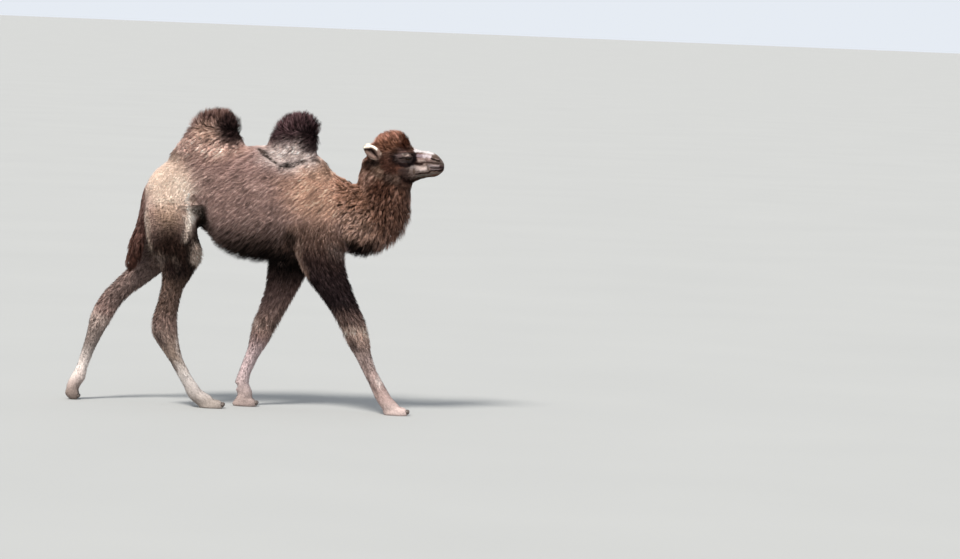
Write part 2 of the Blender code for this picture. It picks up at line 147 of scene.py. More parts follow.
def apply_modifier(thing, kind, **settings):
    added = thing.modifiers.new(kind.lower(), kind)
    for name, value in settings.items():
        setattr(added, name, value)
    select_only(thing)
    bpy.ops.object.modifier_apply(modifier=added.name)


def read(items, key, width, kind=float):
    found = np.empty(len(items) * width, kind)
    items.foreach_get(key, found)
    return found.reshape(-1, width)


def points_of(thing):
    return read(thing.data.vertices, "co", 3)


def put_points(thing, points):
    thing.data.vertices.foreach_set("co", points.ravel())
    thing.data.update()


def edges_of(thing):
    return read(thing.data.edges, "vertices", 2, np.int64)


def triangles_of(thing):
    thing.data.calc_loop_triangles()
    return read(thing.data.loop_triangles, "vertices", 3, np.int64)


def thousandths(values):
    """Millimetres of a table as metres, or its thousandths of a colour as shares."""
    return np.array(values) / 1000


def unit(vectors):
    return vectors / np.maximum(np.linalg.norm(vectors, axis=-1, keepdims=True), 1e-12)


def normals_of(points, triangles):
    a, b, c = (points[triangles[:, k]] for k in range(3))
    face = np.cross(b - a, c - a)
    total = np.zeros_like(points)
    for k in range(3):
        for axis in range(3):
            total[:, axis] += np.bincount(triangles[:, k], face[:, axis], len(points))
    return unit(total)


def evened(values, edges, passes, share=0.5):
    """Values on the corners of a mesh, each drawn towards its neighbours' mean."""
    values = np.array(values, float)
    flat = values.reshape(len(values), -1)
    count = np.bincount(edges.ravel(), minlength=len(flat))[:, None]
    share = np.broadcast_to(np.asarray(share, float).reshape(-1, 1), (len(flat), 1))
    for _ in range(passes):
        total = np.zeros_like(flat)
        for k in range(flat.shape[1]):
            total[:, k] += np.bincount(edges[:, 0], flat[edges[:, 1], k], len(flat))
            total[:, k] += np.bincount(edges[:, 1], flat[edges[:, 0], k], len(flat))
        flat += (total / np.maximum(count, 1) - flat) * share
    return flat.reshape(values.shape)


def ramp(low, high, value):
    """0 below low, 1 above high, and an S-curve between them."""
    share = np.clip((value - low) / (high - low), 0, 1)
    return share * share * (3 - 2 * share)

# %% [markdown]
# ## The skin
#
# On the real animal one hide runs from the lips to the toes. The solids are parted by thin cuts, so
# copies of them are joined and remeshed into one closed surface, which closes the cuts. Their flat
# facets are then ironed out. The lids and lips need small faces and the trunk does not, so the
# surface is thinned everywhere but on the head.

# %% Join and remesh the flesh
VOXEL = 0.005
HEAD_BACK, HEAD_FLOOR = 0.52, 1.165  # everything in front of and above these is head
WELD = 1e-5


def weld():
    bpy.ops.mesh.remove_doubles(threshold=WELD)


def on_head(points):
    above = points[:, 2] > HEAD_FLOOR - 0.1 * ramp(0.62, 0.75, points[:, 0])
    return (points[:, 0] > HEAD_BACK) & above & (points[:, 2] > 1.12)


select_only(*[copy_of(nodes[name]) for name in flesh + ["eye_left", "eye_right"]])
bpy.ops.object.join()
skin = bpy.context.view_layer.objects.active
in_edit_mode(skin, weld)
skin.data.materials.clear()
apply_modifier(skin, "REMESH", mode="VOXEL", voxel_size=VOXEL, adaptivity=0)
print("remeshed:", len(skin.data.polygons), "faces")


# %% Iron out the facets and thin the body
def keep_largest(thing):
    """Drops any small bubble that the cuts left inside."""
    in_edit_mode(thing, lambda: bpy.ops.mesh.separate(type="LOOSE"))
    parts = sorted(bpy.context.selected_objects, key=lambda part: len(part.data.vertices))
    for part in parts[:-1]:
        bpy.data.objects.remove(part)
    return parts[-1]


skin = keep_largest(skin)
skin.name = "skin"
points = points_of(skin)
edges = edges_of(skin)
head_share = on_head(points).astype(float)
lower_leg = 1 - ramp(0.45, 0.65, points[:, 2])
loose = 0.5 * (1 - 0.75 * head_share) * (1 - 0.5 * lower_leg)
IRON_PASSES = 12
SWELL = -1.02       # each pass ends with a step the other way, so that nothing shrinks
for _ in range(IRON_PASSES):
    points = evened(points, edges, 1, loose)
    points = evened(points, edges, 1, SWELL * loose)
put_points(skin, points)

BODY_SHARE = 0.16   # share of the body's triangles that is kept
body_points = np.flatnonzero(head_share < 0.5)
skin.vertex_groups.new(name="body").add([int(i) for i in body_points], 1.0, "REPLACE")
apply_modifier(skin, "TRIANGULATE")
head_part = 1 - len(body_points) / len(points)
kept_share = head_part + (1 - head_part) * BODY_SHARE
apply_modifier(skin, "DECIMATE", decimate_type="COLLAPSE", ratio=kept_share, vertex_group="body")
skin.vertex_groups.clear()
print("thinned:", len(skin.data.polygons), "triangles, head share", round(head_part, 3))

# %% [markdown]
# ## Drawing the skin in under the coat
#
# The solids reach the tips of the hair, so the skin has to lie deeper: a few millimetres on the
# face and the cannons, several centimetres under the mane and the hump tufts. Each point looks up
# which solid it came from, and that gives its depth. Depths are evened out over the mesh and the
# skin is moved in by small steps, so that no step shows where one depth meets the next.

# %% Which part each point of the skin belongs to
corner_lists, face_lists, owner, start = [], [], [], 0
for number, name in enumerate(flesh):
    mesh = nodes[name].data
    corner_lists += [v.co.copy() for v in mesh.vertices]
    face_lists += [[start + i for i in face.vertices] for face in mesh.polygons]
    owner += [number] * len(mesh.polygons)
    start += len(mesh.vertices)
solids_tree = BVHTree.FromPolygons(corner_lists, face_lists)


def part_numbers(points):
    return np.array([owner[solids_tree.find_nearest(Vector(p))[2]] for p in points])


def belongs(numbers, words):
    """True where the part's name holds one of the words."""
    wanted = [i for i, name in enumerate(flesh) if any(word in name for word in words.split())]
    return np.isin(numbers, wanted)


points = points_of(skin)
edges = edges_of(skin)
triangles = triangles_of(skin)
parts = part_numbers(points)
print("points on the head:", int(belongs(parts, "head").sum()))

# %% Coat depth
DEPTH = {
    "trunk": 0.0115, "hump": 0.018, "neck": 0.028, "head": 0.0022, "ear_": 0.001, "tail": 0.008,
    "thigh": 0.008, "arm": 0.0105, "shank": 0.0036, "foot": 0.0018,
}
x, y, z = points.T
depth = np.zeros(len(points))
for word, value in DEPTH.items():
    depth[belongs(parts, word)] = value
head = belongs(parts, "head")
crown = head * ramp(1.315, 1.345, z) * (1 - ramp(0.745, 0.775, x + (z - 1.36) * 0.5))
behind_cheek = head * (1 - ramp(0.66, 0.76, x)) * (1 - crown)
depth += crown * 0.024 + behind_cheek * 0.008
facing = normals_of(points, triangles)
depth += belongs(parts, "neck") * 0.012 * ramp(0.0, 0.7, -facing[:, 2] + 0.3 * facing[:, 0])
depth += belongs(parts, "hump") * 0.014 * ramp(1.35, 1.42, z)
depth += belongs(parts, "trunk") * 0.012 * ramp(0.3, 0.9, -facing[:, 2])
depth += belongs(parts, "tail") * 0.012 * (1 - ramp(0.72, 0.86, z))
depth += belongs(parts, "arm") * 0.004 * ramp(0.55, 0.75, z)
depth *= ramp(-0.002, 0.02, z)
depth = evened(depth, edges, 24)
INSET_STEPS = 8
for _ in range(INSET_STEPS):
    points = points - normals_of(points, triangles) * (depth / INSET_STEPS)[:, None]
    points = evened(points, edges, 2, 0.45 * ramp(0.008, 0.03, depth))
put_points(skin, points)
print("deepest coat:", round(float(depth.max()) * 1000), "mm")

# %% [markdown]
# ## The head
#
# A camel's face is bone and thin skin: a heavy brow, a hollow round the eye, a narrow nose bridge,
# slit nostrils that can close, a split upper lip and loose folds. The faces there are divided finer
# and then pushed and creased, as a sculptor would, with soft round moves and with creases that
# follow short lines. All places are measured from the eye in the side view.

# %% Finer faces on the face, the lids and the lips
EYE = (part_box("eye_right")[0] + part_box("eye_right")[1]) / 2
EYE_RADIUS = (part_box("eye_right")[1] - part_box("eye_right")[0]).x / 2
# Lines of the face: forward, up, forward, up and so on from the eye, in mm.
NOSTRIL = (112, -1, 126, -7, 142, -9, 154, -13)
LIP_FOLD = (113, -47, 140, -47, 184, -46)
MOUTH = (38, -80, 70, -76, 100, -71, 115, -62, 150, -60, 170, -55)
CREST = (36, -30, 61, -27, 78, -21, 108, -21, 150, -27)


def refine(thing, wanted):
    """Divides the triangles whose three corners are wanted."""
    select_only(thing)
    bpy.ops.object.mode_set(mode="EDIT")
    bpy.ops.mesh.select_mode(type="FACE")
    bpy.ops.mesh.select_all(action="DESELECT")
    bpy.ops.object.mode_set(mode="OBJECT")
    corners = np.array([face.vertices[:3] for face in thing.data.polygons])
    thing.data.polygons.foreach_set("select", wanted[corners].all(axis=1))
    bpy.ops.object.mode_set(mode="EDIT")
    bpy.ops.mesh.subdivide(number_cuts=1)
    bpy.ops.mesh.quads_convert_to_tris()
    bpy.ops.object.mode_set(mode="OBJECT")


def from_eye(points):
    """Places in the side view, forward and up from the eye."""
    return points[:, [0, 2]] - np.array([EYE.x, EYE.z])


def line_distance(places, line):
    """Distance from each place to a bent line, which is given as one run of coordinates."""
    corners = thousandths(line).reshape(-1, 2)
    best = np.linalg.norm(places - corners[0], axis=1)
    for a, b in zip(corners, corners[1:]):
        share = np.clip((places - a) @ (b - a) / ((b - a) @ (b - a)), 0, 1)
        best = np.minimum(best, np.linalg.norm(places - a - share[:, None] * (b - a), axis=1))
    return best


flat = from_eye(points)
refine(skin, (flat[:, 0] > -0.075) & (points[:, 2] > 1.13) | belongs(parts, "ear_"))
points = points_of(skin)
flat = from_eye(points)
near_eye = np.linalg.norm(flat, axis=1) < 0.04
near_lines = np.zeros(len(points), bool)
for line in (NOSTRIL, LIP_FOLD, MOUTH):
    near_lines |= line_distance(flat, line) < 0.012
refine(skin, near_eye & (abs(points[:, 1]) > 0.04) | near_lines)
points = points_of(skin)
edges = edges_of(skin)
triangles = triangles_of(skin)
parts = part_numbers(points)
front = ramp(-0.09, -0.06, from_eye(points)[:, 0]) * (points[:, 2] > 1.12)
points = evened(points, edges, 3, 0.5 * np.maximum(front, belongs(parts, "ear_") * 0.6))
print("skin:", len(triangles), "triangles, eyeballs of", round(EYE_RADIUS * 2000, 1), "mm")


# %% Sculpting moves
def patch(places, centre, half, core=0.42):
    """1 in the core of an oval and 0 at its rim."""
    reach = np.linalg.norm((places - thousandths(centre)) / thousandths(half), axis=1)
    return 1 - ramp(core, 1.0, reach)


def band(places, line, width):
    """1 on a bent line, falling off smoothly over its width."""
    return np.exp(-((line_distance(places, line) / thousandths(width)) ** 2))


def push(points, weight, amount):
    return points + normals_of(points, triangles) * (weight * thousandths(amount))[:, None]


SOFT_MOVES = [
    # centre, radii and outward move, in mm
    ((2, 32), (54, 20), 6.5),  # brow
    ((-2, -4), (56, 42), -4.5),  # hollow round the eye
    ((-35, -60), (60, 46), 3),  # cheek muscle
    ((60, -56), (48, 18), 3),  # pale fold of the cheek
    ((134, 2), (34, 24), 3.5),  # nostril wing
    ((136, -36), (40, 14), 3),  # upper lip
    ((74, -8), (34, 18), -3),  # hollow beside the bridge
    ((130, -76), (46, 14), 2),  # lower lip
]
CREASES = [
    # line, width and outward move, in mm
    (CREST, 4.2, -2.6),
    ((36, 20, 80, 20, 112, 16), 7, 1.6),
    (NOSTRIL, 8.5, 3.2),
    (NOSTRIL, 3, -11),
    ((128, 4, 142, 1, 153, -4), 2.2, -1.6),
    (LIP_FOLD, 3.6, -3),
    ((113, -38, 150, -38, 178, -39), 4.5, 1.4),
    (MOUTH, 7.5, 2),
    (MOUTH, 2.6, -8.5),
    ((92, -34, 95, -46, 99, -57, 104, -65), 2.8, -1.8),
    ((-50, -34, -10, -46, 30, -40), 7, 2),
    ((-44, -46, -8, -56, 30, -56), 3.4, -1.6),
]
flat = from_eye(points)
side_on = front * ramp(0.15, 0.5, abs(normals_of(points, triangles)[:, 1]))
for centre, radii, amount in SOFT_MOVES:
    points = push(points, patch(flat, centre, radii, 0) * side_on, amount)
for line, width, amount in CREASES:
    points = push(points, band(flat, line, width) * side_on, amount)
split = np.exp(-((points[:, 1] / 0.0035) ** 2)) * ramp(0.15, 0.17, flat[:, 0])
points = push(points, split * (flat[:, 1] > -0.056), -5)
print("creases:", len(CREASES), "soft moves:", len(SOFT_MOVES))

# %% [markdown]
# ## Lids
#
# The lids are the skin itself, laid over the eyeball: near the eye, skin points are moved onto a
# sphere a little larger than the ball, and inside a half-moon opening they are sunk below its
# surface so that the ball shows. The upper lid hangs low, which gives the sleepy look.

# %% Lids over the eyeballs
LID = 0.0026            # thickness of a lid
OPEN_MIDDLE = -0.002    # how far behind the ball's middle the opening is centred
OPEN_HALF = 0.017       # half the length of the opening
OPEN_UP, OPEN_DOWN = 0.003, 0.012
LID_CREASES = [
    # line, width and outward move, in mm
    ((-26, 4, -12, 10, 8, 10.5, 23, 5), 1.4, -1.8),
    ((-31, 11, -12, 19, 12, 18, 28, 10), 1.8, -1.8),
    ((-36, 18, -14, 27, 14, 26, 32, 16), 2, -1.6),
    ((-25, -8, -8, -17.5, 10, -16.5, 22, -6), 1.4, -1.5),
    ((-34, -10, -14, -24.5, 10, -24.5, 28, -10), 1.8, -1.8),
    ((-46, -4, -34, -5, -22, -1), 2, -2.2),
    ((16, 1, 26, 3, 34, 4), 1.8, -2.2),
]


def opening(places):
    """Above 0 inside the half-moon between the lids, in metres from its rim."""
    along, across = (places - np.array([OPEN_MIDDLE, 0.0])).T
    bow = np.clip(1 - (abs(along) / OPEN_HALF) ** 2.4, 0, 1)
    return np.where(across > 0, OPEN_UP * bow - across, OPEN_DOWN * bow + across)


def eye_centre(side):
    return np.array([EYE.x, side * abs(EYE.y), EYE.z])


for side in (-1, 1):
    centre = eye_centre(side)
    away = points - centre
    sideways = np.linalg.norm(away[:, [0, 2]], axis=1)
    near = (away[:, 1] * side > -0.004) & (sideways < 0.034)
    wrap = near * (1 - ramp(0.0185, 0.031, sideways))
    on_lid = unit(away) * (EYE_RADIUS + LID)
    flat = on_lid[:, [0, 2]]
    gap = opening(flat)
    rim = np.exp(-((gap / 0.0022) ** 2)) * 0.0009
    rim += 0.0016 * patch(flat, (-3, 6), (24, 10), 0)
    on_lid += unit(away) * rim[:, None]
    ball_front = np.sqrt(np.maximum(EYE_RADIUS**2 - (flat**2).sum(1), 0))
    on_lid[:, 1] = np.where(gap > 0, side * (ball_front - 0.0035), on_lid[:, 1])
    points = points + (centre + on_lid - points) * wrap[:, None]
flat = from_eye(points)
outer = front * ramp(0.3, 0.6, abs(normals_of(points, triangles)[:, 1])) * (opening(flat) < -0.001)
for line, width, amount in LID_CREASES:
    points = push(points, band(flat, line, width) * outer, amount)
put_points(skin, points)
print("lids with", len(LID_CREASES), "creases laid over the balls")

# %% [markdown]
# ## The markings, painted shade and painted highlights
#
# The coat's colours are painted by lists of soft shapes: oval patches, blends up the lower legs and
# strokes along bent lines, each laid over the ones before it and kept to the parts it names. Most are
# the coat's own markings. Some strokes are painted shade in creases, slits and the ear's hollow, and
# some are painted shadow under the jaw and below the ear. Some are painted highlights along the front
# edges of the thigh and the cannons, and the far upper fore leg is painted in shade. The same lists
# colour the skin and every tuft, by the place of its root, so that both match.

# %% Patches and strokes of colour
BASE = (400, 262, 228)  # grey-brown of the barrel
NEAR_BLACK = (22, 14, 11)
DARK_BROWN = (60, 36, 28)
PATCHES = [
    # parts, centre (x, z) and half sizes in mm, colour, strength, share of the size in full colour
    ("trunk hump", (-20, 1300), (500, 180), (380, 240, 212), 0.9, 0.42),
    ("trunk neck arm", (330, 1120), (250, 270), (640, 395, 290), 0.95, 0.42),
    ("trunk neck", (370, 1220), (150, 100), (460, 300, 222), 0.85, 0.42),
    ("trunk arm thigh", (50, 700), (560, 290), DARK_BROWN, 1.0, 0.42),
    ("trunk arm", (300, 900), (160, 130), (190, 112, 88), 0.6, 0.3),
    ("trunk", (50, 680), (480, 190), (8, 5, 4), 1.0, 0.55),
    ("neck", (510, 1060), (330, 330), (260, 135, 88), 1.0, 0.42),
    ("neck", (480, 940), (200, 120), (340, 215, 165), 0.85, 0.3),
    ("neck", (670, 1120), (140, 300), (125, 60, 40), 0.95, 0.42),
    ("neck", (490, 780), (340, 140), (6, 4, 3), 1.0, 0.55),
    ("neck", (550, 1240), (70, 110), (280, 165, 125), 0.8, 0.42),
    ("neck", (620, 1150), (70, 70), (85, 34, 20), 0.8, 0.3),
    ("hump trunk", (160, 1272), (195, 105), (700, 570, 530), 1.0, 0.5),
    ("hump trunk", (-220, 1330), (240, 140), (640, 420, 350), 1.0, 0.42),
    ("hump trunk", (-410, 1225), (110, 75), (540, 390, 310), 0.8, 0.3),
    ("hump", (-220, 1480), (300, 135), (98, 54, 45), 1.0, 0.62),
    ("hump", (-245, 1362), (70, 42), (520, 340, 260), 0.8, 0.3),
    ("hump", (-125, 1390), (80, 90), (30, 16, 15), 1.0, 0.6),
    ("hump", (-340, 1400), (65, 80), (110, 62, 54), 0.85, 0.5),
    ("hump", (160, 1470), (240, 142), (64, 34, 37), 1.0, 0.82),
    ("hump", (275, 1375), (75, 100), (30, 16, 18), 0.9, 0.6),
    ("trunk thigh", (-430, 1100), (170, 160), (840, 665, 550), 1.0, 0.4),
    ("trunk thigh", (-420, 945), (150, 140), (400, 265, 185), 0.9, 0.05),
    ("thigh", (-390, 760), (260, 245), (28, 14, 10), 1.0, 0.36),
    ("thigh shank", (-410, 550), (200, 180), (145, 90, 68), 0.9, 0.42),
    ("thigh", (-375, 685), (70, 50), (20, 11, 10), 0.9, 0.5),
    ("thigh", (-272, 765), (44, 72), (520, 400, 330), 0.95, 0.5),
    ("thigh", (-462, 715), (40, 45), (330, 245, 205), 0.7, 0.42),
    ("thigh_left hind_left", (-630, 600), (220, 220), (170, 120, 105), 0.8, 0.42),
]
STROKES = [
    # parts, line (x, z, x, z ...) and half width in mm, colour, strength
    # The pale strokes down the thigh's front edge are a painted highlight, where the rim catches the light.
    ("thigh trunk", (-348, 1130, -324, 1010, -320, 900), 18, (980, 850, 740), 0.9),
    ("thigh", (-320, 900, -330, 835), 14, (600, 480, 400), 0.8),
    ("thigh", (-530, 960, -525, 850, -500, 780), 14, (560, 430, 340), 0.7),
    # Near-black line in the crease under the stifle's bulge: painted shade.
    ("thigh", (-335, 815, -300, 832, -270, 838), 10, NEAR_BLACK, 0.9),
    ("thigh", (-488, 752, -388, 752), 8, (330, 240, 190), 0.6),
    # Near-black line in the crease behind the stifle's bulge: painted shade.
    ("thigh", (-318, 800, -322, 740, -300, 690), 15, NEAR_BLACK, 0.9),
    ("thigh tail", (-543, 1054, -550, 950, -540, 860), 13, (600, 480, 400), 0.6),
    # These strokes darken the crease between the flank and the thigh, near-black at its foot: painted shade
    # in the hollow.
    ("trunk thigh", (-304, 1085, -296, 1020), 14, (200, 125, 95), 0.8),
    ("trunk thigh", (-293, 995, -288, 970), 12, (50, 30, 22), 1.0),
    ("trunk thigh", (-280, 985, -268, 930, -260, 850), 50, (10, 6, 4), 1.0),
    ("thigh", (-288, 955, -284, 920, -282, 870), 18, (12, 7, 4), 1.0),
    # Dark strokes along the crease where the front hump meets the shoulder: painted shade in the fold.
    ("trunk hump", (24, 1280, 60, 1258, 106, 1234), 17, (22, 14, 11), 1.0),
    ("trunk hump", (128, 1218, 170, 1230, 222, 1240), 25, (6, 4, 3), 1.0),
    ("trunk hump", (222, 1250, 265, 1262, 300, 1256), 14, (30, 19, 15), 0.95),
    ("trunk", (0, 1180, 15, 1050, 5, 900), 35, (420, 280, 240), 0.4),
    ("trunk", (85, 1160, 100, 1030, 85, 900), 35, (170, 105, 90), 0.35),
    ("trunk", (-120, 1160, -100, 1030, -110, 930), 35, (200, 125, 105), 0.3),
    # Dark stroke in the crease between the upper arm and the trunk: painted shade.
    ("trunk arm", (176, 890, 182, 840, 188, 760), 20, (30, 19, 15), 0.8),
    ("fore_right_arm", (215, 860, 225, 760, 262, 695), 26, (420, 270, 210), 0.85),
    ("fore_right_arm", (380, 822, 455, 785), 18, (420, 320, 280), 0.7),
    ("fore_right", (490, 420, 590, 405), 40, (740, 550, 450), 0.75),
    ("fore_right", (510, 350, 548, 322), 24, (60, 38, 34), 0.9),
    # Pale line down the front edge of the cannon: a painted highlight along the lit rim.
    ("fore_right", (598, 340, 630, 230, 655, 140), 9, (780, 660, 610), 0.9),
    ("fore_right", (560, 290, 600, 190, 632, 125), 10, (140, 98, 86), 0.8),
    ("fore_right", (632, 115, 650, 95), 10, (80, 55, 48), 0.8),
    ("fore_left_arm", (100, 765, 140, 735), 24, (330, 230, 200), 0.8),
    ("fore_left", (-5, 470, 20, 400), 14, (390, 290, 250), 0.8),
    ("hind_right", (-480, 440, -470, 370, -425, 300), 18, (55, 36, 33), 0.8),
    ("hind_right", (-425, 300, -385, 230, -355, 180), 11, (95, 65, 55), 0.8),
    # Pale line down the front edge of the hind cannon: a painted highlight along the lit rim.
    ("hind_right", (-372, 400, -345, 290, -322, 210), 9, (560, 470, 420), 0.8),
    ("hind_right", (-500, 410, -492, 370), 8, (500, 410, 370), 0.8),
]
LEG_COLOURS = [
    # parts, heights over the floor in mm, and the colour at each
    ("hind_right_shank hind_right_foot", (30, 100, 170, 250, 330, 420, 550), [(320, 270, 240),
     (540, 480, 450), (640, 570, 530), (270, 200, 160), (240, 172, 142), (360, 246, 206), (120, 75, 60)]),
    ("hind_left_shank hind_left_foot", (30, 80, 160, 280, 420, 580), [(200, 155, 135), (420, 330, 300),
     (780, 680, 630), (180, 145, 130), (420, 320, 280), (135, 94, 92)]),
    ("fore_right_shank fore_right_foot", (30, 80, 160, 280, 370, 480), [(500, 390, 360), (460, 330, 300),
     (400, 290, 265), (370, 275, 250), (360, 245, 200), (400, 265, 210)]),
    ("fore_left_shank fore_left_foot", (30, 80, 160, 280, 370, 480), [(290, 225, 205), (440, 345, 325),
     (540, 420, 420), (450, 340, 340), (230, 145, 125), (220, 142, 125)]),
    ("fore_right_arm", (420, 490, 550, 700, 800, 850, 920), [(400, 265, 215), (180, 112, 96), (26, 16, 17),
     (48, 28, 28), (95, 52, 42), (200, 116, 88), (260, 155, 118)]),
    # The far upper fore leg turns near-black towards the top: painted shade.
    ("fore_left_arm", (420, 520, 600, 700, 900), [(300, 200, 168), (260, 165, 144), (170, 100, 86),
     (9, 6, 5), (6, 4, 3)]),
]
HEAD_BASE = (95, 48, 34)
HEAD_STROKES = [
    # line from the eye and half width in mm, colour, strength
    ((-170, 85, -90, 115, -45, 110), 70, (272, 126, 86), 1.0),  # crown
    ((-130, 45, -60, 50), 36, (170, 72, 42), 0.9),
    ((-22, 46, -12, 80, -20, 112), 33, (52, 17, 9), 1.0),
    ((-105, -30, -66, -56), 52, (95, 39, 26), 1.0),  # cheek
    ((-155, -50, -140, -85), 34, (300, 190, 135), 0.8),
    ((-90, -98, -45, -104), 34, (120, 76, 58), 0.7),
    # Near-black along the underside of the jaw: painted shadow.
    ((-20, -90, 0, -110, 20, -106), 26, (12, 4, 3), 1.0),  # jaw
    ((20, -99, 36, -99), 16, (40, 22, 14), 1.0),
    ((20, -60, 100, -34, 110, 0), 50, (200, 145, 125), 1.0),  # muzzle
    ((110, -20, 160, -30), 34, (115, 80, 68), 1.0),
    ((70, -4, 96, -4), 18, (240, 170, 155), 1.0),
    ((-48, -3, 8, -3), 54, (8, 3, 3), 1.0),  # round the eye
    ((-42, 2, 0, 1), 33, (88, 59, 54), 1.0),
    ((-50, 8, -42, 8), 12, (150, 102, 100), 0.8),
    ((-45, 30, -22, 31), 11, (125, 70, 60), 0.8),
    ((-28, 14, -2, 14.5), 10.5, (290, 225, 200), 1.0),
    ((-30, -19, -8, -21.5, 10, -19), 7.5, (60, 44, 42), 1.0),
    ((-46, -32, -12, -40, 20, -34), 12, (8, 3, 3), 1.0),
    ((30, 20, 34, 2, 28, -20), 11, (8, 4, 4), 1.0),
    ((12, 16, 24, 12), 8, (20, 10, 8), 1.0),
    # Dark lines past both corners of the opening: painted shade in the lid creases.
    ((-44, -5, -25, -1), 5, (10, 5, 5), 1.0),
    ((14, 1, 34, 4), 5.5, (10, 5, 5), 1.0),
    ((46, 12, 66, 11), 11, (220, 165, 180), 1.0),  # bridge
    ((76, 12, 108, 9), 12, (450, 385, 400), 1.0),
    ((36, 38, 80, 36, 118, 29), 15, (540, 500, 500), 1.0),
    ((46, -6, 66, -6), 8.5, (250, 165, 150), 1.0),
    ((48, -14, 78, -13), 5.5, (300, 240, 215), 0.9),
    ((92, -12, 110, -12), 8, (135, 90, 80), 1.0),  # nose
    ((124, 8, 150, -4), 18, (62, 43, 34), 1.0),
    ((146, -22, 168, -26), 12, (85, 60, 50), 1.0),
    ((102, -37, 150, -37), 10, (190, 150, 145), 1.0),  # lips
    ((112, -54, 152, -53), 6, (125, 94, 92), 1.0),
    ((-40, -66, -16, -84, 8, -88), 16, (74, 42, 34), 0.8),
    ((22, -50, 60, -52, 86, -52), 18, (370, 295, 265), 1.0),
    ((64, -59, 84, -53), 11, (560, 450, 415), 1.0),
    ((30, -56, 30, -72), 9, (110, 70, 50), 0.9),
    ((-34, -58, -2, -66), 13, (46, 27, 23), 0.9),
    ((45, -89, 75, -86, 108, -81), 7, (155, 130, 108), 1.0),
    ((116, -74, 158, -70), 8.5, (125, 96, 82), 1.0),
    ((56, -101, 116, -96), 9, (52, 37, 27), 1.0),
    ((162, -41, 186, -46), 12, (36, 18, 18), 1.0),
    ((134, -1, 148, -4), 4, (190, 140, 125), 0.9),
    ((128, 5, 142, 2, 153, -3), 3, (75, 48, 40), 0.9),
    # The dark strokes along the nostril slit, the crest, the lip fold and the mouth are painted shade in
    # these creases and slits.
    (NOSTRIL, 5.5, (24, 14, 11), 1.0),
    (CREST, 6.2, (50, 32, 26), 0.9),
    ((32, -26, 50, -32, 66, -27), 11, (20, 10, 8), 1.0),
    ((92, -34, 95, -46, 99, -57, 104, -65), 3.4, (105, 78, 64), 0.9),
    (LIP_FOLD, 4, (62, 42, 40), 1.0),
    (MOUTH, 4.8, (30, 18, 16), 1.0),
]
EAR_BASE = (235, 155, 125)
EAR_STROKES = [
    # line from the eye and half width in mm, colour, strength
    ((-192, 8, -180, 10), 14, (260, 175, 145), 1.0),  # inner lobe
    # Dark inside the ear's rim: painted shade in its hollow.
    ((-218, 34, -184, 34, -168, 16, -152, -2), 10, (20, 9, 7), 1.0),
    ((-236, 42, -200, 52, -174, 52, -160, 38), 8.5, (980, 900, 760), 1.0),
    ((-140, 14, -134, 12), 7, (560, 430, 340), 1.0),
    ((-190, -12, -160, -18, -137, -22), 5.5, (520, 390, 310), 1.0),
]
BEHIND_EAR = [
    # Near-black just below the ear: painted shadow.
    ((-196, -30, -150, -32), 16, (14, 8, 6), 0.9),
    ((-205, 0, -203, -12), 14, (160, 70, 45), 0.9),
    ((-232, 4, -226, -14), 18, (850, 640, 560), 1.0),
]
TAIL_TOP, TAIL_TIP = (170, 92, 78), (96, 43, 32)


def stroke(places, line, width):
    return 1 - ramp(0.3, 1.05, line_distance(places, line) / thousandths(width))


def laid_over(colours, weight, colour):
    return colours + (thousandths(colour) - colours) * weight[:, None]


def stroked(places, painted, strokes, chosen=1.0):
    """Colours with strokes laid over them one after another."""
    for line, width, colour, strength in strokes:
        painted = laid_over(painted, stroke(places, line, width) * strength * chosen, colour)
    return painted


def plain(colour, count):
    return np.tile(thousandths(colour), (count, 1))


def blotches(points, size, seed):
    """A smooth random field of about unit strength, with spots of about this size."""
    draw = np.random.default_rng(seed)
    waves = unit(draw.normal(size=(20, 3))) * draw.uniform(0.6, 1.4, (20, 1)) * (math.tau / size)
    return np.sin(points @ waves.T + draw.uniform(0, math.tau, 20)).sum(1) / math.sqrt(10)


def markings_and_painted_light(points, parts):
    """The coat's colour at each point, from the patches and strokes, painted shade and highlights included.
    """
    wander = np.stack([blotches(points, 0.1, 1), blotches(points, 0.1, 2)], axis=1)
    side_view = points[:, [0, 2]] + 0.007 * wander
    colours = plain(BASE, len(points))
    for names, centre, half, colour, strength, core in PATCHES:
        weight = patch(side_view, centre, half, core) * strength * belongs(parts, names)
        colours = laid_over(colours, weight, colour)
    for names, heights, along in LEG_COLOURS:
        chosen = belongs(parts, names)
        levels = side_view[chosen, 1]
        channels = thousandths(along).T
        blends = [np.interp(levels, thousandths(heights), channel) for channel in channels]
        colours[chosen] = np.stack(blends, axis=1)
    for names, *how in STROKES:
        colours = stroked(side_view, colours, [how], belongs(parts, names))
    tail = belongs(parts, "tail")
    low = 1 - ramp(0.78, 1.0, points[tail, 2])
    colours[tail] = laid_over(plain(TAIL_TOP, len(low)), low, TAIL_TIP)
    wander = np.stack([blotches(points, 0.02, 3), blotches(points, 0.02, 4)], axis=1)
    places = from_eye(points) + 0.0012 * wander
    for word, base, strokes in (("head", HEAD_BASE, HEAD_STROKES), ("ear_", EAR_BASE, EAR_STROKES)):
        chosen = belongs(parts, word)
        colours[chosen] = stroked(places[chosen], plain(base, chosen.sum()), strokes)
    return stroked(places, colours, BEHIND_EAR, belongs(parts, "head neck"))


points = points_of(skin)
parts = part_numbers(points)
skin_colour = evened(markings_and_painted_light(points, parts), edges, 2, 0.5 * (1 - front))
print("skin colours from", len(PATCHES), "patches and", len(STROKES) + len(HEAD_STROKES), "strokes")

# %% [markdown]
# ## The lie of the coat
#
# Hair on a camel runs back along the barrel, down the neck and the legs, back over the head from the
# nose, and up and outward on the humps, where it stands in a tuft. Each point of the skin gets that
# direction, and the directions are evened out so that they turn smoothly from part to part.


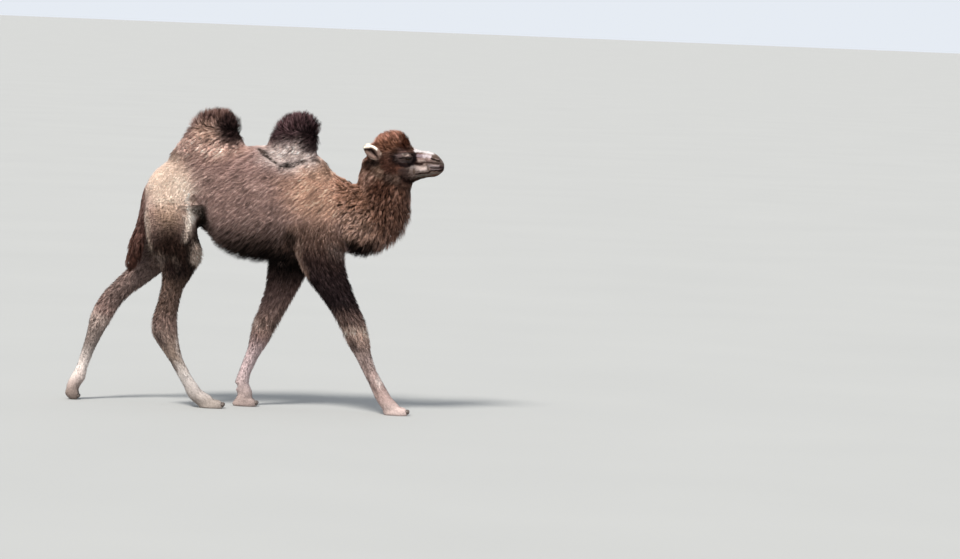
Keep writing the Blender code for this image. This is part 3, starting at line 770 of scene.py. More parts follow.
# %% Directions of the hair
def limb_direction(points, parts, word):
    """Downwards along a leg: the way its middle line runs."""
    chosen = belongs(parts, word) & (points[:, 2] > 0.05)
    levels = np.linspace(0.06, points[chosen, 2].max(), 14)
    middle_x = [np.median(points[chosen & (abs(points[:, 2] - level) < 0.05), 0]) for level in levels]
    slope = np.gradient(middle_x, levels)
    lean = np.clip(np.interp(points[:, 2], levels, slope), -0.7, 0.7)
    lean = lean + (0.3 - lean) * ramp(0.82, 0.96, points[:, 2])
    return unit(np.stack([-lean, np.zeros(len(points)), -np.ones(len(points))], axis=1))


def lie_of_coat(points, parts, facing):
    x, y, z = points.T
    zero = np.zeros(len(points))
    rump = ramp(0.28, 0.46, -x)
    way = unit(np.stack([-0.75 + 0.4 * rump, zero, -0.65 - 0.3 * rump], axis=1))
    side = np.sign(y)
    hump = belongs(parts, "hump")
    tuft = ramp(1.35, 1.4, z)
    fall = np.stack([zero - 0.75, 0.3 * side, zero - 0.6], axis=1)
    stand = facing + np.array([0.0, 0.0, 0.45])
    way[hump] = (fall * (1 - tuft[:, None]) + stand * tuft[:, None])[hump]
    neck = belongs(parts, "neck")
    back = 1 - ramp(0.42, 0.62, x)
    way[neck] = np.stack([-0.3 - 0.9 * back, zero, -1.0 + 0.45 * back], axis=1)[neck]
    head = belongs(parts, "head")
    place = from_eye(points)
    crown = ramp(0.035, 0.065, place[:, 1]) * (1 - ramp(-0.01, 0.03, place[:, 0]))
    cheek = ramp(0.0, 0.08, -place[:, 0]) * ramp(-0.02, 0.06, -place[:, 1])
    way[head] = np.stack([-1 + 0.4 * crown, zero, -0.1 + 0.9 * crown - 0.8 * cheek], axis=1)[head]
    ear = belongs(parts, "ear_")
    way[ear] = np.stack([zero - 0.8, 0.3 * side, zero + 0.45], axis=1)[ear]
    for leg in ("fore_left", "fore_right", "hind_left", "hind_right"):
        on_leg = belongs(parts, leg)
        way[on_leg] = limb_direction(points, parts, leg)[on_leg]
    way[belongs(parts, "foot")] = (0.5, 0.0, -0.8)
    way[belongs(parts, "tail")] = (-0.12, 0.0, -1.0)
    return unit(way)


def along_surface(directions, facing):
    return unit(directions - facing * (directions * facing).sum(1, keepdims=True))


facing = normals_of(points, triangles)
lie = along_surface(evened(lie_of_coat(points, parts, facing), edges, 10), facing)
skin_depth = evened([solids_tree.find_nearest(Vector(place))[3] for place in points], edges, 6)
FOLDS = [
    # parts, line, width and outward move of the skin in mm, share of the coat taken away
    ("trunk thigh", (-297, 1030, -288, 970, -274, 915, -258, 840), 18, -14, 0.8),
    ("thigh", (-342, 1100, -330, 1010, -326, 900, -334, 835), 14, 6, 0.0),
    ("trunk hump", (128, 1216, 170, 1228, 222, 1238), 20, -14, 0.95),
    ("trunk hump", (24, 1280, 60, 1258, 106, 1234), 14, -9, 0.85),
    ("trunk hump", (222, 1248, 265, 1260, 300, 1254), 12, -7, 0.8),
    ("thigh", (-340, 812, -300, 832, -265, 838), 8, -5, 0.75),
    ("thigh", (-322, 810, -324, 740, -300, 690), 9, -6, 0.75),
    ("thigh", (-285, 800, -278, 740), 22, 10, 0.0),
    ("trunk arm", (176, 890, 182, 840, 188, 760), 14, -6, 0.5),
]
opened = np.zeros(len(points))
for names, line, width, move, thinned in FOLDS:
    chosen = belongs(parts, names)
    above = band(points[:, [0, 2]] - (0.0, 0.008), line, 1.6 * width) * chosen
    opened = np.maximum(opened, thinned * above)
    fold = band(points[:, [0, 2]], line, width) * chosen
    skin_depth *= 1 - thinned * fold
    points = push(points, fold, move)
put_points(skin, points)
facing = normals_of(points, triangles)
skin_tree = BVHTree.FromPolygons([Vector(p) for p in points], triangles.tolist())
print("coat depth now", round(float(np.median(skin_depth)) * 1000, 1), "mm in the middle")

# %% [markdown]
# ## What the coat is like from part to part
#
# Length, thickness, how far the hair stands off, how it curls, how densely it grows and how uneven
# its colour is are all numbers on the skin, one for each of its points: a baseline for each part,
# changed towards the crown, the mane under the neck, the hump tufts, the belly and the knees. One
# more number says how far past the outline standing hair reaches.

# %% Length, width, stand, curl, cover and mottle
TRAITS = {
    # part: length, width, stand, curl, cover, mottle
    "trunk": (0.024, 0.0019, 0.12, 0.0016, 2.9, 0.29),
    "hump": (0.034, 0.0021, 0.26, 0.0035, 5.0, 0.34),
    "neck": (0.04, 0.0024, 0.3, 0.0055, 5.1, 0.5),
    "head": (0.0062, 0.00085, 0.08, 0.0003, 1.25, 0.26),
    "ear_": (0.013, 0.0011, 0.24, 0.001, 1.8, 0.26),
    "tail": (0.024, 0.0022, 0.15, 0.001, 3.4, 0.42),
    "thigh": (0.008, 0.0016, 0.11, 0.0006, 1.05, 0.14),
    "arm": (0.022, 0.002, 0.18, 0.0022, 2.1, 0.5),
    "shank": (0.01, 0.0014, 0.12, 0.0008, 0.95, 0.4),
    "foot": (0.0075, 0.0013, 0.06, 0.0004, 0.8, 0.26),
}
traits = np.zeros((len(points), 6))
for word, values in TRAITS.items():
    traits[belongs(parts, word)] = values


def blend_in(weight, values):
    """Draws the traits towards other values where the weight is above 0."""
    traits[:] += (np.array(values) - traits) * weight[:, None]


x, y, z = points.T
place = from_eye(points)
head = belongs(parts, "head")
neck = belongs(parts, "neck")
under = ramp(0.0, 0.75, -facing[:, 2] + 0.35 * facing[:, 0])
blend_in(head * ramp(0.035, 0.08, -place[:, 0]), (0.018, 0.0016, 0.24, 0.0022, 1.8, 0.4))
crown = head * ramp(0.022, 0.06, place[:, 1]) * (1 - ramp(-0.005, 0.022, place[:, 0]))
blend_in(crown, (0.036, 0.0016, 0.66, 0.004, 3.6, 0.34))
blend_in(head * patch(place, (-5, -112), (90, 40)), (0.028, 0.002, 0.45, 0.003, 2.6, 0.36))
blend_in(neck * under, (0.068, 0.0026, 0.66, 0.006, 4.3, 0.54))
blend_in(belongs(parts, "trunk") * under, (0.058, 0.0025, 0.66, 0.0045, 3.2, 0.45))
blend_in(belongs(parts, "hump") * ramp(1.335, 1.395, z), (0.054, 0.0019, 0.82, 0.0034, 6.3, 0.38))
blend_in(belongs(parts, "tail") * (1 - ramp(0.76, 0.92, z)), (0.07, 0.0024, 0.3, 0.003, 4.4, 0.36))
side_view = points[:, [0, 2]]
blend_in(belongs(parts, "thigh") * (1 - ramp(0.8, 0.94, z)), (0.019, 0.0018, 0.18, 0.002, 1.9, 0.42))
blend_in(belongs(parts, "trunk") * patch(side_view, (-460, 1110), (170, 170), 0.6),
         (0.009, 0.0016, 0.1, 0.0006, 1.15, 0.15))
blend_in(belongs(parts, "hind_right_thigh") * patch(side_view, (-320, 740), (130, 110)),
         (0.028, 0.0024, 0.5, 0.006, 2.8, 0.6))
blend_in(belongs(parts, "hind_right_thigh") * patch(side_view, (-270, 765), (55, 90)),
         (0.03, 0.0024, 0.8, 0.007, 3.4, 0.6))
woolly = np.zeros(len(points))
for word, level in (("fore_right", 0.425), ("fore_left", 0.4), ("hind", 0.42)):
    knee = belongs(parts, word) * (1 - ramp(0.03, 0.11, abs(z - level)))
    blend_in(knee * (0.6 if word == "hind" else 1.0), (0.026, 0.0021, 0.58, 0.0056, 2.5, 0.66))
    woolly = np.maximum(woolly, knee)
lips = head * ramp(0.1, 0.14, place[:, 0])
blend_in(lips, (0.0042, 0.0008, 0.06, 0.0002, 0.85, 0.22))
lids = head * (1 - ramp(0.03, 0.04, np.linalg.norm(place, axis=1)))
blend_in(lids, (0.0034, 0.0007, 0.05, 0.0002, 0.75, 0.2))
blend_in((z < 0.012) * 1.0, (0.005, 0.0012, 0.02, 0.0002, 0.0, 0.1))
blend_in(0.85 * opened, (0.008, 0.0014, 0.08, 0.0006, 1.4, 0.3))
traits = evened(traits, edges, 5)
beyond = 1.12 + 0.35 * belongs(parts, "hump") * ramp(1.28, 1.36, z)
beyond += 0.55 * belongs(parts, "hump_front") * patch(side_view, (290, 1350), (75, 75))
beyond += 0.4 * belongs(parts, "hump_rear") * patch(side_view, (-350, 1380), (90, 110))
beyond += belongs(parts, "trunk") * 1.1 * under + neck * 0.7 * under + 0.9 * woolly
beyond += 1.2 * belongs(parts, "hind_right_thigh") * patch(side_view, (-270, 765), (55, 90))
beyond = evened(beyond, edges, 5)
print("hair from", round(traits[:, 0].min() * 1000, 1), "to", round(traits[:, 0].max() * 1000), "mm")

# %% [markdown]
# ## Growing the coat
#
# A tuft is a thin three-sided spike, closed at its root and drawn out to a point. Tufts are rooted
# at random over a part, follow the skin at a height that grows towards the tip, and lean together
# in locks: every tuft is drawn towards the tip of the nearest lock, which gives the coat its
# partings. All tufts of a part are one mesh, built as arrays, because there are many thousands.

# %% Reading values between the points of the skin
SINK = 0.002        # how far a root starts below the skin
MAP_PATCH = 0.003   # size of a tuft's patch on the colour map
MAP_FACES = 2500    # most faces of the sheet that is unwrapped for the map


def mixed(values, numbers, weights):
    """Values at places inside triangles, from the values at their corners."""
    corners = values[triangles[numbers]]
    return np.einsum("nk,nk...->n...", weights, corners)


def nearest_on_skin(places):
    foot = np.empty_like(places)
    number = np.empty(len(places), np.int64)
    for i, place in enumerate(places):
        hit = skin_tree.find_nearest(place)
        foot[i] = hit[0]
        number[i] = hit[2]
    return foot, number


def turned(direction, normal, angle):
    aside = np.cross(normal, direction)
    return direction * np.cos(angle)[:, None] + aside * np.sin(angle)[:, None]


# %% The colour map of a coat piece
def surface_map(piece):
    """An unwrap of the skin under one coat piece, to look up each root's place on it."""
    used, local = np.unique(triangles[piece], return_inverse=True)
    mesh = bpy.data.meshes.new("unwrap")
    mesh.from_pydata(points[used], [], local.reshape(-1, 3).tolist())
    sheet = add_object("unwrap", mesh)
    if len(piece) > MAP_FACES:
        apply_modifier(sheet, "DECIMATE", decimate_type="COLLAPSE", ratio=MAP_FACES / len(piece))
    angle = math.radians(66)
    in_edit_mode(sheet, lambda: bpy.ops.uv.smart_project(angle_limit=angle, island_margin=0.01))
    corner_points = points_of(sheet)
    faces = np.array([face.vertices[:3] for face in sheet.data.polygons])
    places = read(sheet.data.uv_layers.active.data, "uv", 2).reshape(-1, 3, 2)
    tree = BVHTree.FromPolygons([Vector(p) for p in corner_points], faces.tolist())
    bpy.data.objects.remove(sheet)
    return tree, corner_points[faces], places


def map_places(roots, unwrap):
    tree, corners, places = unwrap
    number = np.array([tree.find_nearest(root)[2] for root in roots])
    a, b, c = (corners[number, k] for k in range(3))
    spans = [np.cross(p - roots, q - roots) for p, q in ((b, c), (c, a), (a, b))]
    share = np.linalg.norm(spans, axis=2).T + 1e-12
    share /= share.sum(1, keepdims=True)
    return np.clip(np.einsum("nk,nkd->nd", share, places[number]), MAP_PATCH, 1 - MAP_PATCH)


# %% Building many closed spikes as one mesh
def store_colours(mesh, colours):
    full = np.ones((len(colours), 4))
    full[:, :3] = colours
    layer = mesh.color_attributes.new("coat", "FLOAT_COLOR", "POINT")
    layer.data.foreach_set("color", full.ravel())


def spikes(name, path, up_way, width, tint, on_map):
    """One mesh of three-sided spikes along paths (tufts, rings + 1, 3), tinted per point of the path."""
    tufts, count, _ = path.shape
    rings = count - 1
    forward = unit(np.gradient(path, axis=1))
    taper = np.array([1.0, 0.95, 0.75, 0.55])[:rings] * 0.5
    corners, tints, map_points = [], [], []
    for k in range(rings):
        aside = unit(np.cross(forward[:, k], up_way))
        upward = np.cross(aside, forward[:, k])
        half = (width * taper[k])[:, None]
        for i, (across, lift) in enumerate(((-1, 0), (0, 0.8), (1, 0))):
            corners.append(path[:, k] + aside * half * across + upward * half * lift)
            tints.append(tint[:, k])
            shift = np.array([across * 0.5, k / rings - 0.5 - 0.2 * (i == 1)]) * MAP_PATCH
            map_points.append(on_map + shift)
    corners.append(path[:, rings])
    tints.append(tint[:, rings])
    map_points.append(on_map + np.array([0, 0.5 * MAP_PATCH]))
    per = len(corners)
    sides = [(2, 1, 0)]
    for k in range(rings - 1):
        sides += [(3 * k + i, 3 * k + (i + 1) % 3, 3 * k + 3 + (i + 1) % 3, 3 * k + 3 + i) for i in range(3)]
    sides += [(per - 4 + i, per - 4 + (i + 1) % 3, per - 1) for i in range(3)]
    pattern = np.concatenate([np.array(side) for side in sides])
    starts = np.cumsum([0] + [len(side) for side in sides[:-1]])
    loops = (pattern[None, :] + per * np.arange(tufts)[:, None]).ravel()
    mesh = bpy.data.meshes.new(name)
    mesh.vertices.add(tufts * per)
    mesh.vertices.foreach_set("co", np.stack(corners, axis=1).ravel())
    mesh.loops.add(len(loops))
    mesh.loops.foreach_set("vertex_index", loops)
    mesh.polygons.add(tufts * len(sides))
    firsts = starts[None, :] + len(pattern) * np.arange(tufts)[:, None]
    mesh.polygons.foreach_set("loop_start", firsts.ravel())
    mesh.update(calc_edges=True)
    mesh.shade_smooth()
    store_colours(mesh, np.stack(tints, axis=1).reshape(-1, 3))
    layer = mesh.uv_layers.new(name="OFBake")
    layer.data.foreach_set("uv", np.stack(map_points, axis=1).reshape(-1, 2)[loops].ravel())
    mesh.materials.append(coat_material)
    return add_object(name, mesh), tufts * (6 * rings - 2)


# %% Growing one piece of the coat
a, b, c = points[triangles].swapaxes(0, 1)
areas = np.linalg.norm(np.cross(b - a, c - a), axis=1) / 2
middles = points[triangles].mean(1)
triangle_parts = np.median(parts[triangles], axis=1).astype(int)
length_at, width_at, _, _, cover_at, _ = traits.T
crowd = cover_at / (0.7 * length_at * width_at)
place = from_eye(middles)
hairless = (line_distance(place, NOSTRIL) < 0.0026) | (line_distance(place, MOUTH) < 0.0022)
hairless |= opening(place) > -0.0012
expected = areas * crowd[triangles].mean(1) * ~(hairless & belongs(triangle_parts, "head"))
RIPPLE = 0.0145  # height from one pale wave of the haunch to the next


def streaks_at(places, ways, size, reach, seed):
    """A random field drawn out along the hair, with a mean of 0 and a spread of 1."""
    shifts = np.linspace(-0.5, 0.5, 5) * reach
    field = sum(blotches(places + ways * shift, size, seed) for shift in shifts)
    return (field - field.mean()) / field.std()


def nearest_lock(root, way, leaders, drawn_out):
    """The lock that each tuft leans to; along the hair a lock may reach further than across it."""
    tree = KDTree(len(leaders))
    for i, leader in enumerate(leaders):
        tree.insert(leader, i)
    tree.balance()
    near = np.array([[found[1] for found in tree.find_n(place, 5)] for place in root])
    apart = leaders[near] - root[:, None]
    along = np.einsum("nkd,nd->nk", apart, way)
    best = ((apart**2).sum(2) - drawn_out * along**2).argmin(1)
    return near[np.arange(len(root)), best]


def grow(name, chosen, rings, lock_size, streak, ripple_strength, slot, seed):
    """Covers the chosen triangles of the skin with tufts, drawn together in locks."""
    draw = np.random.default_rng(seed)
    piece = np.flatnonzero(chosen)
    tufts = int(expected[piece].sum())
    number = draw.choice(piece, tufts, p=expected[piece] / expected[piece].sum())
    first, second = draw.random((2, tufts))
    over = first + second > 1
    first[over], second[over] = 1 - first[over], 1 - second[over]
    weights = np.stack([1 - first - second, first, second], axis=1)
    root = mixed(points, number, weights)
    normal = unit(mixed(facing, number, weights))
    way = along_surface(mixed(lie, number, weights), normal)
    length, width, stand, curl, _, mottle = mixed(traits, number, weights).T
    room = mixed(skin_depth, number, weights) * mixed(beyond, number, weights)

    locks = draw.choice(tufts, max(1, tufts // lock_size), replace=False)
    lock = nearest_lock(root, way, root[locks], min(0.85, 24 * streak))
    per_lock = draw.normal(size=(4, len(locks)))
    lean = 0.22 * per_lock[0][lock] + 0.14 * draw.normal(size=tufts)
    longer = np.clip(1 + 0.12 * per_lock[1][lock] + 0.12 * draw.normal(size=tufts), 0.6, 1.4)
    taller = np.clip(0.95 + 0.08 * per_lock[2][lock] + 0.1 * draw.normal(size=tufts), 0.5, 1.15)
    phase = math.tau * draw.random(len(locks))[lock]

    steps = np.linspace(0, 1, rings + 1)
    rise = 1 - (1 - steps) ** 1.8
    free_way = unit(normal * (0.4 + 1.2 * stand)[:, None] + way * (1 - 0.5 * stand)[:, None])
    grade = np.clip((free_way * normal).sum(1), 0.35, 1)
    upright = ramp(0.15, 0.55, stand)
    reach = length * longer * (1 - upright) + room * taller / grade * upright
    length = length * longer
    path = [root - normal * SINK]
    place, heading = root, turned(way, normal, lean)
    for k in range(1, rings + 1):
        foot, under = nearest_on_skin(place + heading * (length / rings)[:, None])
        foot_normal = unit(facing[triangles[under]].mean(1))
        height = skin_depth[triangles[under]].mean(1) * taller
        lying = foot + foot_normal * (height * rise[k])[:, None]
        standing = root + free_way * (reach * steps[k])[:, None]
        standing[:, 2] -= length * 0.2 * (1 - stand) * steps[k] ** 2
        path.append(lying + (standing - lying) * stand[:, None])
        place = foot
        heading = turned(along_surface(lie[triangles[under]].mean(1), foot_normal), foot_normal, lean)
    path = np.stack(path, axis=1)
    aside = np.cross(normal, way)
    for k in range(1, rings + 1):
        turn, swing = phase + 5.0 * steps[k], curl * steps[k]
        path[:, k] += aside * (swing * np.sin(turn))[:, None]
        path[:, k] += normal * (swing * 0.5 * np.cos(turn))[:, None]
    leader = path[locks][lock]
    pull = (0.3 + 45 * curl) * (1 - 0.4 * upright)
    for k in range(1, rings + 1):
        target = leader[:, k] + (root - root[locks][lock]) * (1 - 0.8 * steps[k])
        path[:, k] += (target - path[:, k]) * (pull * steps[k])[:, None]

    rows = root[:, 2] / RIPPLE + 0.7 * blotches(root, 0.09, 5)
    ripple = np.sin(math.tau * rows) * ripple_strength
    uneven = 0.8 * per_lock[3][lock] + 0.3 * draw.normal(size=tufts)
    uneven += 0.9 * streaks_at(root, way, 0.4 * streak, streak, 6)
    sharp = (front[triangles[number]].min(1) > 0.5) | belongs(triangle_parts[number], "ear_")
    sharp |= mixed(opened, number, weights) > 0.1
    colour = mixed(skin_colour, number, weights)
    colour[sharp] = markings_and_painted_light(root[sharp], triangle_parts[number[sharp]])
    strength = mottle * (1 + 0.5 * (1 - ramp(0.02, 0.2, colour.mean(1))))
    shade = np.exp(strength * uneven - 0.7 * (strength**2 - mottle**2) + ripple)
    shade = np.clip(shade, 0.2, 1.8)[:, None]
    grey = colour.mean(1, keepdims=True)
    colour = (colour + (grey - colour) * np.clip(0.22 * (shade - 1), 0, 0.18)) * shade
    spread = (0.35 + 1.1 * mottle)[:, None] * ramp(0.01, 0.034, length)[:, None]
    tint = np.stack([colour * (1 + spread * (step - 0.55)) for step in steps], axis=1)
    up_way = unit(normal * (1 - stand)[:, None] - way * stand[:, None])
    on_map = map_places(root, surface_map(piece))
    made, count = spikes(name, path, up_way, width, np.clip(tint, 0, 0.95), on_map)
    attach(made, "root")
    print(f"{name}: {tufts} tufts, {count} triangles")
    return count

# %% [markdown]
# ## Materials of skin and hair
#
# Hair is matt and never one even colour, so a node group lays two sizes of soft mottling over any
# colour given to it. The skin uses the same group and adds fine streaks and a bump for hair too
# short to model. The streaks follow the lie of the coat, because they are read from a stored place
# that is squeezed along it.


# %% The mottling group and the two materials
def new_material(name, roughness, specular):
    made = bpy.data.materials.new(name)
    made.use_nodes = True
    shader = made.node_tree.nodes["Principled BSDF"]
    shader.inputs["Roughness"].default_value = roughness
    shader.inputs["Specular IOR Level"].default_value = specular
    return made, made.node_tree, shader


def node(tree, kind, inputs=None, **settings):
    """Adds a node, whose inputs are given as sockets to link or as values to hold."""
    made = tree.nodes.new("ShaderNode" + kind)
    for name, value in settings.items():
        setattr(made, name, value)
    for name, given in (inputs or {}).items():
        if isinstance(given, bpy.types.NodeSocket):
            tree.links.new(given, made.inputs[name])
        else:
            made.inputs[name].default_value = given
    return made


def new_group(name, **sockets):
    """A node group that gives a colour, with the sockets of its two end nodes."""
    made = bpy.data.node_groups.new(name, "ShaderNodeTree")
    for socket, kind in sockets.items():
        made.interface.new_socket(socket, in_out="INPUT", socket_type="NodeSocket" + kind)
    made.interface.new_socket("Colour", in_out="OUTPUT", socket_type="NodeSocketColor")
    return made, made.nodes.new("NodeGroupInput").outputs, made.nodes.new("NodeGroupOutput").inputs


def own_place(tree):
    return node(tree, "TexCoord").outputs["Object"]


def stored(tree, attribute, output):
    return node(tree, "Attribute", attribute_name=attribute).outputs[output]


def noise(tree, place, scale, detail):
    return node(tree, "TexNoise", {"Vector": place, "Scale": scale, "Detail": detail}).outputs["Fac"]


def ranged(tree, value, low, high, start=0.25, end=0.75):
    """Runs from low to high as the value runs from start to end."""
    inputs = {"Value": value, "From Min": start, "From Max": end, "To Min": low, "To Max": high}
    return node(tree, "MapRange", inputs).outputs["Result"]


def scaled(tree, colour, factor):
    return node(tree, "VectorMath", {0: colour, "Scale": factor}, operation="SCALE").outputs["Vector"]


def two_tone(tree, value, low, high, start=0.0, end=1.0):
    """Runs from one colour to another as the value runs from start to end."""
    made = node(tree, "ValToRGB", {"Fac": value})
    for stop, position, colour in zip(made.color_ramp.elements, (start, end), (low, high)):
        stop.position = position
        stop.color = (*colour, 1)
    return made.outputs["Color"]


def bumped(tree, shader, height, strength, distance):
    bump = node(tree, "Bump", {"Strength": strength, "Distance": distance, "Height": height})
    tree.links.new(bump.outputs["Normal"], shader.inputs["Normal"])


mottling, given, leave = new_group("mottling", Colour="Color", Broad="Float", Fine="Float")
colour_now, place = given["Colour"], own_place(mottling)
for socket, low, high in (("Broad", 0.82, 1.16), ("Fine", 0.8, 1.2)):
    strength = ranged(mottling, noise(mottling, place, given[socket], 3.0), low, high)
    colour_now = scaled(mottling, colour_now, strength)
mottling.links.new(colour_now, leave["Colour"])


def mottled(tree, broad, fine):
    """The stored colour of the coat under the mottling."""
    inputs = {"Colour": stored(tree, "coat", "Color"), "Broad": broad, "Fine": fine}
    return node(tree, "Group", inputs, node_tree=mottling).outputs["Colour"]


coat_material, tree, shader = new_material("hair", 0.75, 0.05)
tree.links.new(mottled(tree, 9.0, 70.0), shader.inputs["Base Color"])

skin_material, tree, shader = new_material("hide", 0.7, 0.08)
streaks = stored(tree, "streaks", "Vector")
tone = ranged(tree, noise(tree, streaks, 330.0, 3.0), 0.62, 1.36)
tree.links.new(scaled(tree, mottled(tree, 11.0, 120.0), tone), shader.inputs["Base Color"])
bumped(tree, shader, noise(tree, streaks, 520.0, 2.0), 0.55, 0.0008)
gloss = ranged(tree, stored(tree, "bare", "Fac"), 0.78, 0.42, 0.0, 1.0)
tree.links.new(gloss, shader.inputs["Roughness"])
print("materials:", coat_material.name, "and", skin_material.name)

# %% Dress the skin
# The skin is darkened where the coat over it is deep: painted shade for the gaps between the tufts.
shaded = skin_colour * (1 - 0.55 * ramp(0.006, 0.016, skin_depth))[:, None]
store_colours(skin.data, shaded)
squeezed = points - lie * (points * lie).sum(1, keepdims=True) * 0.85
layer = skin.data.attributes.new("streaks", "FLOAT_VECTOR", "POINT")
layer.data.foreach_set("vector", squeezed.ravel())
place = from_eye(points)
bareness = np.maximum(patch(place, (155, -22), (35, 45)), opening(place) > -0.002)
layer = skin.data.attributes.new("bare", "FLOAT", "POINT")
layer.data.foreach_set("value", (bareness * belongs(parts, "head")).astype(float))
skin.data.materials.append(skin_material)
skin.data.shade_smooth()
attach(skin, "root")
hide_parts(*flesh)
print("skin stands for", len(flesh), "solids")

# %% Grow every piece of the coat
front_half = middles[:, 0] >= 0.05
short = length_at[triangles].mean(1) < 0.012
COAT = {
    # piece: triangles, rings, tufts to a lock, length of its streaks, strength of its ripples, slot
    "coat_face": (belongs(triangle_parts, "head") & short, 1, 6, 0.008, 0.0, "coat_head"),
    "coat_crown": (belongs(triangle_parts, "head") & ~short, 2, 8, 0.016, 0.0, "coat_head"),
    "coat_ears": (belongs(triangle_parts, "ear_"), 1, 6, 0.012, 0.0, "coat_ear"),
    "coat_tail": (belongs(triangle_parts, "tail"), 3, 10, 0.036, 0.0, "coat_tail"),
}
for side, chosen in (("left", middles[:, 1] >= 0), ("right", middles[:, 1] < 0)):
    neck_side = belongs(triangle_parts, "neck") & chosen
    trunk_side = belongs(triangle_parts, "trunk") & chosen
    COAT[f"coat_neck_{side}"] = (neck_side, 3, 14, 0.03, 0.0, "coat_neck")
    COAT[f"coat_shoulder_{side}"] = (trunk_side & front_half, 1, 8, 0.036, 0.06, "coat_trunk")
    COAT[f"coat_flank_{side}"] = (trunk_side & ~front_half, 1, 8, 0.036, 0.06, "coat_trunk")
    thigh, arm = (belongs(triangle_parts, word) for word in (f"hind_{side}_thigh", f"fore_{side}_arm"))
    COAT[f"coat_thigh_{side}"] = (thigh, 1, 8, 0.01, 0.72, "coat_thigh")
    COAT[f"coat_arm_{side}"] = (arm, 1, 10, 0.026, 0.06, "coat_arm")
    for end in ("fore", "hind"):
        lower = belongs(triangle_parts, f"{end}_{side}_shank {end}_{side}_foot")
        COAT[f"coat_{end}_{side}"] = (lower, 1, 8, 0.022, 0.06, "coat_shank")
for end in ("front", "rear"):
    hump = belongs(triangle_parts, f"hump_{end}")
    COAT[f"coat_hump_{end}"] = (hump, 2, 12, 0.026, 0.0, "coat_hump")
total = sum(grow(name, *how, seed) for seed, (name, how) in enumerate(COAT.items()))
print("coat:", total, "triangles")

# %% [markdown]
# ## Lashes
#
# A camel's lashes are long and thick. They are rooted along both rims of the opening, stand out from
# the ball and hang a little, the upper ones twice as long as the lower ones.

# %% Lashes
LASHES = [
    # rim, number, length, droop
    ("upper", 60, 0.0115, 0.65),
    ("upper", 44, 0.0085, 0.35),
    ("lower", 34, 0.0055, 0.3),
]
draw = np.random.default_rng(90)
paths, outwards, spots = [], [], []
for side in (-1, 1):
    for row, (rim_name, number, length, droop) in enumerate(LASHES):
        along = OPEN_MIDDLE + OPEN_HALF * (np.linspace(-0.9, 0.96, number) + 0.02 * draw.normal(size=number))
        bow = np.clip(1 - (abs(along - OPEN_MIDDLE) / OPEN_HALF) ** 2.4, 0, 1)
        across = OPEN_UP * bow + 0.0008 if rim_name == "upper" else -OPEN_DOWN * bow - 0.0006
        out = np.sqrt(np.maximum((EYE_RADIUS + LID) ** 2 - along**2 - across**2, 0))
        from_ball = np.stack([along, side * out, across], axis=1)
        outward = unit(from_ball)
        fan = np.stack([0.5 * (along - OPEN_MIDDLE) / OPEN_HALF, 0 * along, 0 * along], axis=1)
        fan += 0.1 * draw.normal(size=fan.shape)
        first = unit(outward + fan - (0, 0, droop))
        second = unit(outward + fan + (0, 0, 0.15))
        reach = (length * draw.uniform(0.8, 1.1, number))[:, None]
        root = eye_centre(side) + from_ball - outward * 0.001
        bend, tip = first * reach * 0.55, (first * 0.55 + second * 0.45) * reach
        paths.append(np.stack([root, root + bend, root + tip], axis=1))
        outwards.append(outward)
        height = 0.1 + 0.13 * (row + 3 * (side > 0))
        spots.append(np.stack([np.linspace(0.05, 0.95, number), np.full(number, height)], axis=1))
paths, outwards, spots = (np.concatenate(lists) for lists in (paths, outwards, spots))
dark = np.broadcast_to((0.012, 0.008, 0.007), paths.shape)
up_lash = unit(np.cross(paths[:, 2] - paths[:, 0], np.cross(outwards, (0, 0, 1.0))))
lash_piece, count = spikes("coat_lashes", paths, up_lash, np.full(len(paths), 0.0006), dark, spots)
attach(lash_piece, "root")
print("lashes:", len(paths), "in", count, "triangles")

# %% [markdown]
# ## Eyes
#
# A camel's eye is large, dark brown and wet, with a pupil like a lying bar. The ball is a fine
# sphere whose front is raised a little for the cornea. The iris and the pupil are drawn by distance
# from the middle of the gaze, in the ball's own directions.

# %% Eyeballs
GAZE = (0.26, 0.95, -0.1)            # of the left eye; the right one mirrors it
PUPIL_LONG, PUPIL_TALL = 0.4, 0.17   # half sizes of the pupil on a ball of radius 1
iris, given, leave = new_group("iris", Centre="Vector", Gaze="Vector", Along="Vector")


def vector_step(operation, first, second=None, output="Vector"):
    terms = {0: first} if second is None else {0: first, 1: second}
    return node(iris, "VectorMath", terms, operation=operation).outputs[output]


def number_step(operation, first, second):
    return node(iris, "Math", {0: first, 1: second}, operation=operation).outputs["Value"]


def mixed_colours(factor, first, second):
    inputs = {"Factor": factor, "A": first, "B": second}
    return node(iris, "Mix", inputs, data_type="RGBA").outputs["Result"]


outward = vector_step("SUBTRACT", own_place(iris), given["Centre"])
outward = vector_step("NORMALIZE", outward)
forward = vector_step("DOT_PRODUCT", outward, given["Gaze"], "Value")
cross = vector_step("CROSS_PRODUCT", given["Gaze"], given["Along"])
squares = []
for way, half in ((given["Along"], PUPIL_LONG), (cross, PUPIL_TALL)):
    reach = number_step("MULTIPLY", vector_step("DOT_PRODUCT", outward, way, "Value"), 1 / half)
    squares.append(number_step("MULTIPLY", reach, reach))
pupil = ranged(iris, number_step("ADD", *squares), 0.0, 1.0, 1.15, 0.95)
rays = noise(iris, outward, 26.0, 4.0)
tone = two_tone(iris, rays, (0.014, 0.006, 0.003), (0.042, 0.018, 0.008), 0.3, 0.75)
edge = ranged(iris, forward, 0.0, 1.0, 0.62, 0.7)
ball_colour = mixed_colours(edge, (0.022, 0.013, 0.01, 1), tone)
iris.links.new(mixed_colours(pupil, ball_colour, (0.003, 0.003, 0.004, 1)), leave["Colour"])

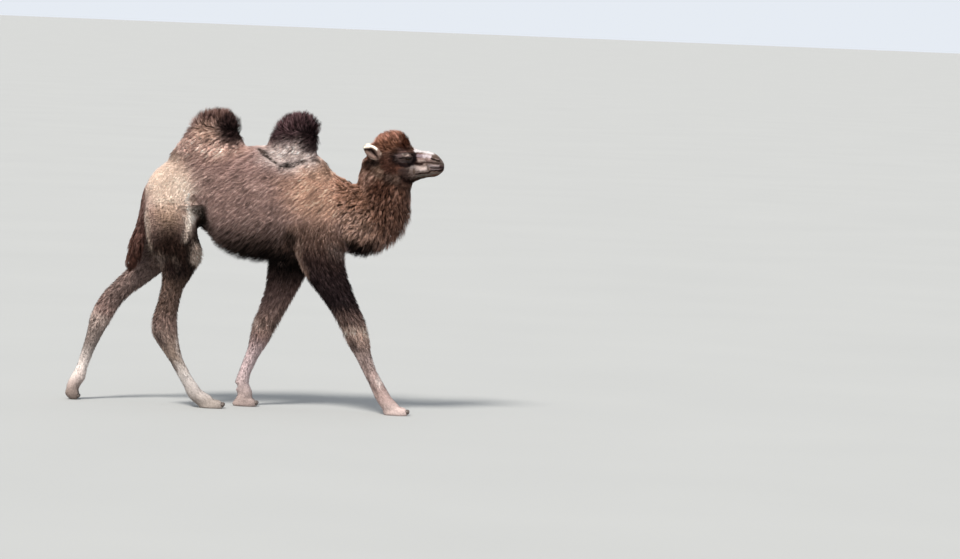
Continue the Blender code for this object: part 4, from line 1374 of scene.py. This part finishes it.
for side, word in ((-1, "right"), (1, "left")):
    centre = eye_centre(side)
    gaze = unit(np.array([GAZE[0], side * GAZE[1], GAZE[2]]))
    along_eye = unit(np.cross((0, 0, 1), gaze))
    select_only()
    bpy.ops.mesh.primitive_uv_sphere_add(segments=48, ring_count=32, radius=EYE_RADIUS, location=centre)
    ball = bpy.context.object
    ball.name = f"eyeball_{word}"
    ball.data.transform(Matrix.Translation(centre))
    ball.location = (0, 0, 0)
    ball_points = points_of(ball)
    outward = unit(ball_points - centre)
    bulge = ramp(0.78, 0.98, outward @ gaze)
    put_points(ball, ball_points + outward * (bulge * 0.0009)[:, None])
    ball.data.shade_smooth()
    eye_material, tree, shader = new_material(f"eye_{word}", 0.2, 0.1)
    shader.inputs["Coat Weight"].default_value = 0.2
    shader.inputs["Coat Roughness"].default_value = 0.02
    drawing = node(tree, "Group", {"Centre": centre, "Gaze": gaze, "Along": along_eye}, node_tree=iris)
    tree.links.new(drawing.outputs["Colour"], shader.inputs["Base Color"])
    ball.data.materials.append(eye_material)
    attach(ball, "root")
    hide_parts(f"eye_{word}")
print("eyeballs of", round(EYE_RADIUS * 2000), "mm")

# %% [markdown]
# ## Toenails
#
# Each broad foot ends in two short horny nails. Copies of the solids are merged, divided and rounded,
# and given a horn material: fine rings round the nail and a dull gloss.

# %% Nails
horn, tree, shader = new_material("horn", 0.42, 0.45)
place = node(tree, "Mapping", {"Vector": own_place(tree), "Scale": (1.0, 0.25, 1.0)})
grain = noise(tree, place.outputs["Vector"], 380.0, 4.0)
tone = two_tone(tree, grain, (0.04, 0.028, 0.024), (0.15, 0.115, 0.095), 0.35, 0.7)
tree.links.new(tone, shader.inputs["Base Color"])
bumped(tree, shader, grain, 0.4, 0.0005)
nails = [name for name in sorted(nodes) if "nail" in name]
for name in nails:
    twin = copy_of(nodes[name])
    twin.name = name.replace("nail", "horn")
    in_edit_mode(twin, weld, bpy.ops.mesh.tris_convert_to_quads)
    apply_modifier(twin, "SUBSURF", levels=2, render_levels=2)
    twin.data.materials.clear()
    twin.data.materials.append(horn)
    twin.data.shade_smooth()
    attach(twin, "root")
    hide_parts(name)
print("nails:", len(nails))

# %% [markdown]
# ## The floor
#
# A plain pale floor that reaches past the view, with the faintest unevenness so that it is not one
# flat tone. It isn't part of the animal.

# %% Floor
select_only()
bpy.ops.mesh.primitive_plane_add(size=700, location=(0, 0, 0))
floor = bpy.context.object
floor.name = "floor"
floor_material, tree, shader = new_material("pale floor", 0.9, 0.1)
cloudy = noise(tree, own_place(tree), 0.6, 2.0)
tone = two_tone(tree, cloudy, (0.3, 0.304, 0.3), (0.322, 0.325, 0.32))
tree.links.new(tone, shader.inputs["Base Color"])
floor.data.materials.append(floor_material)
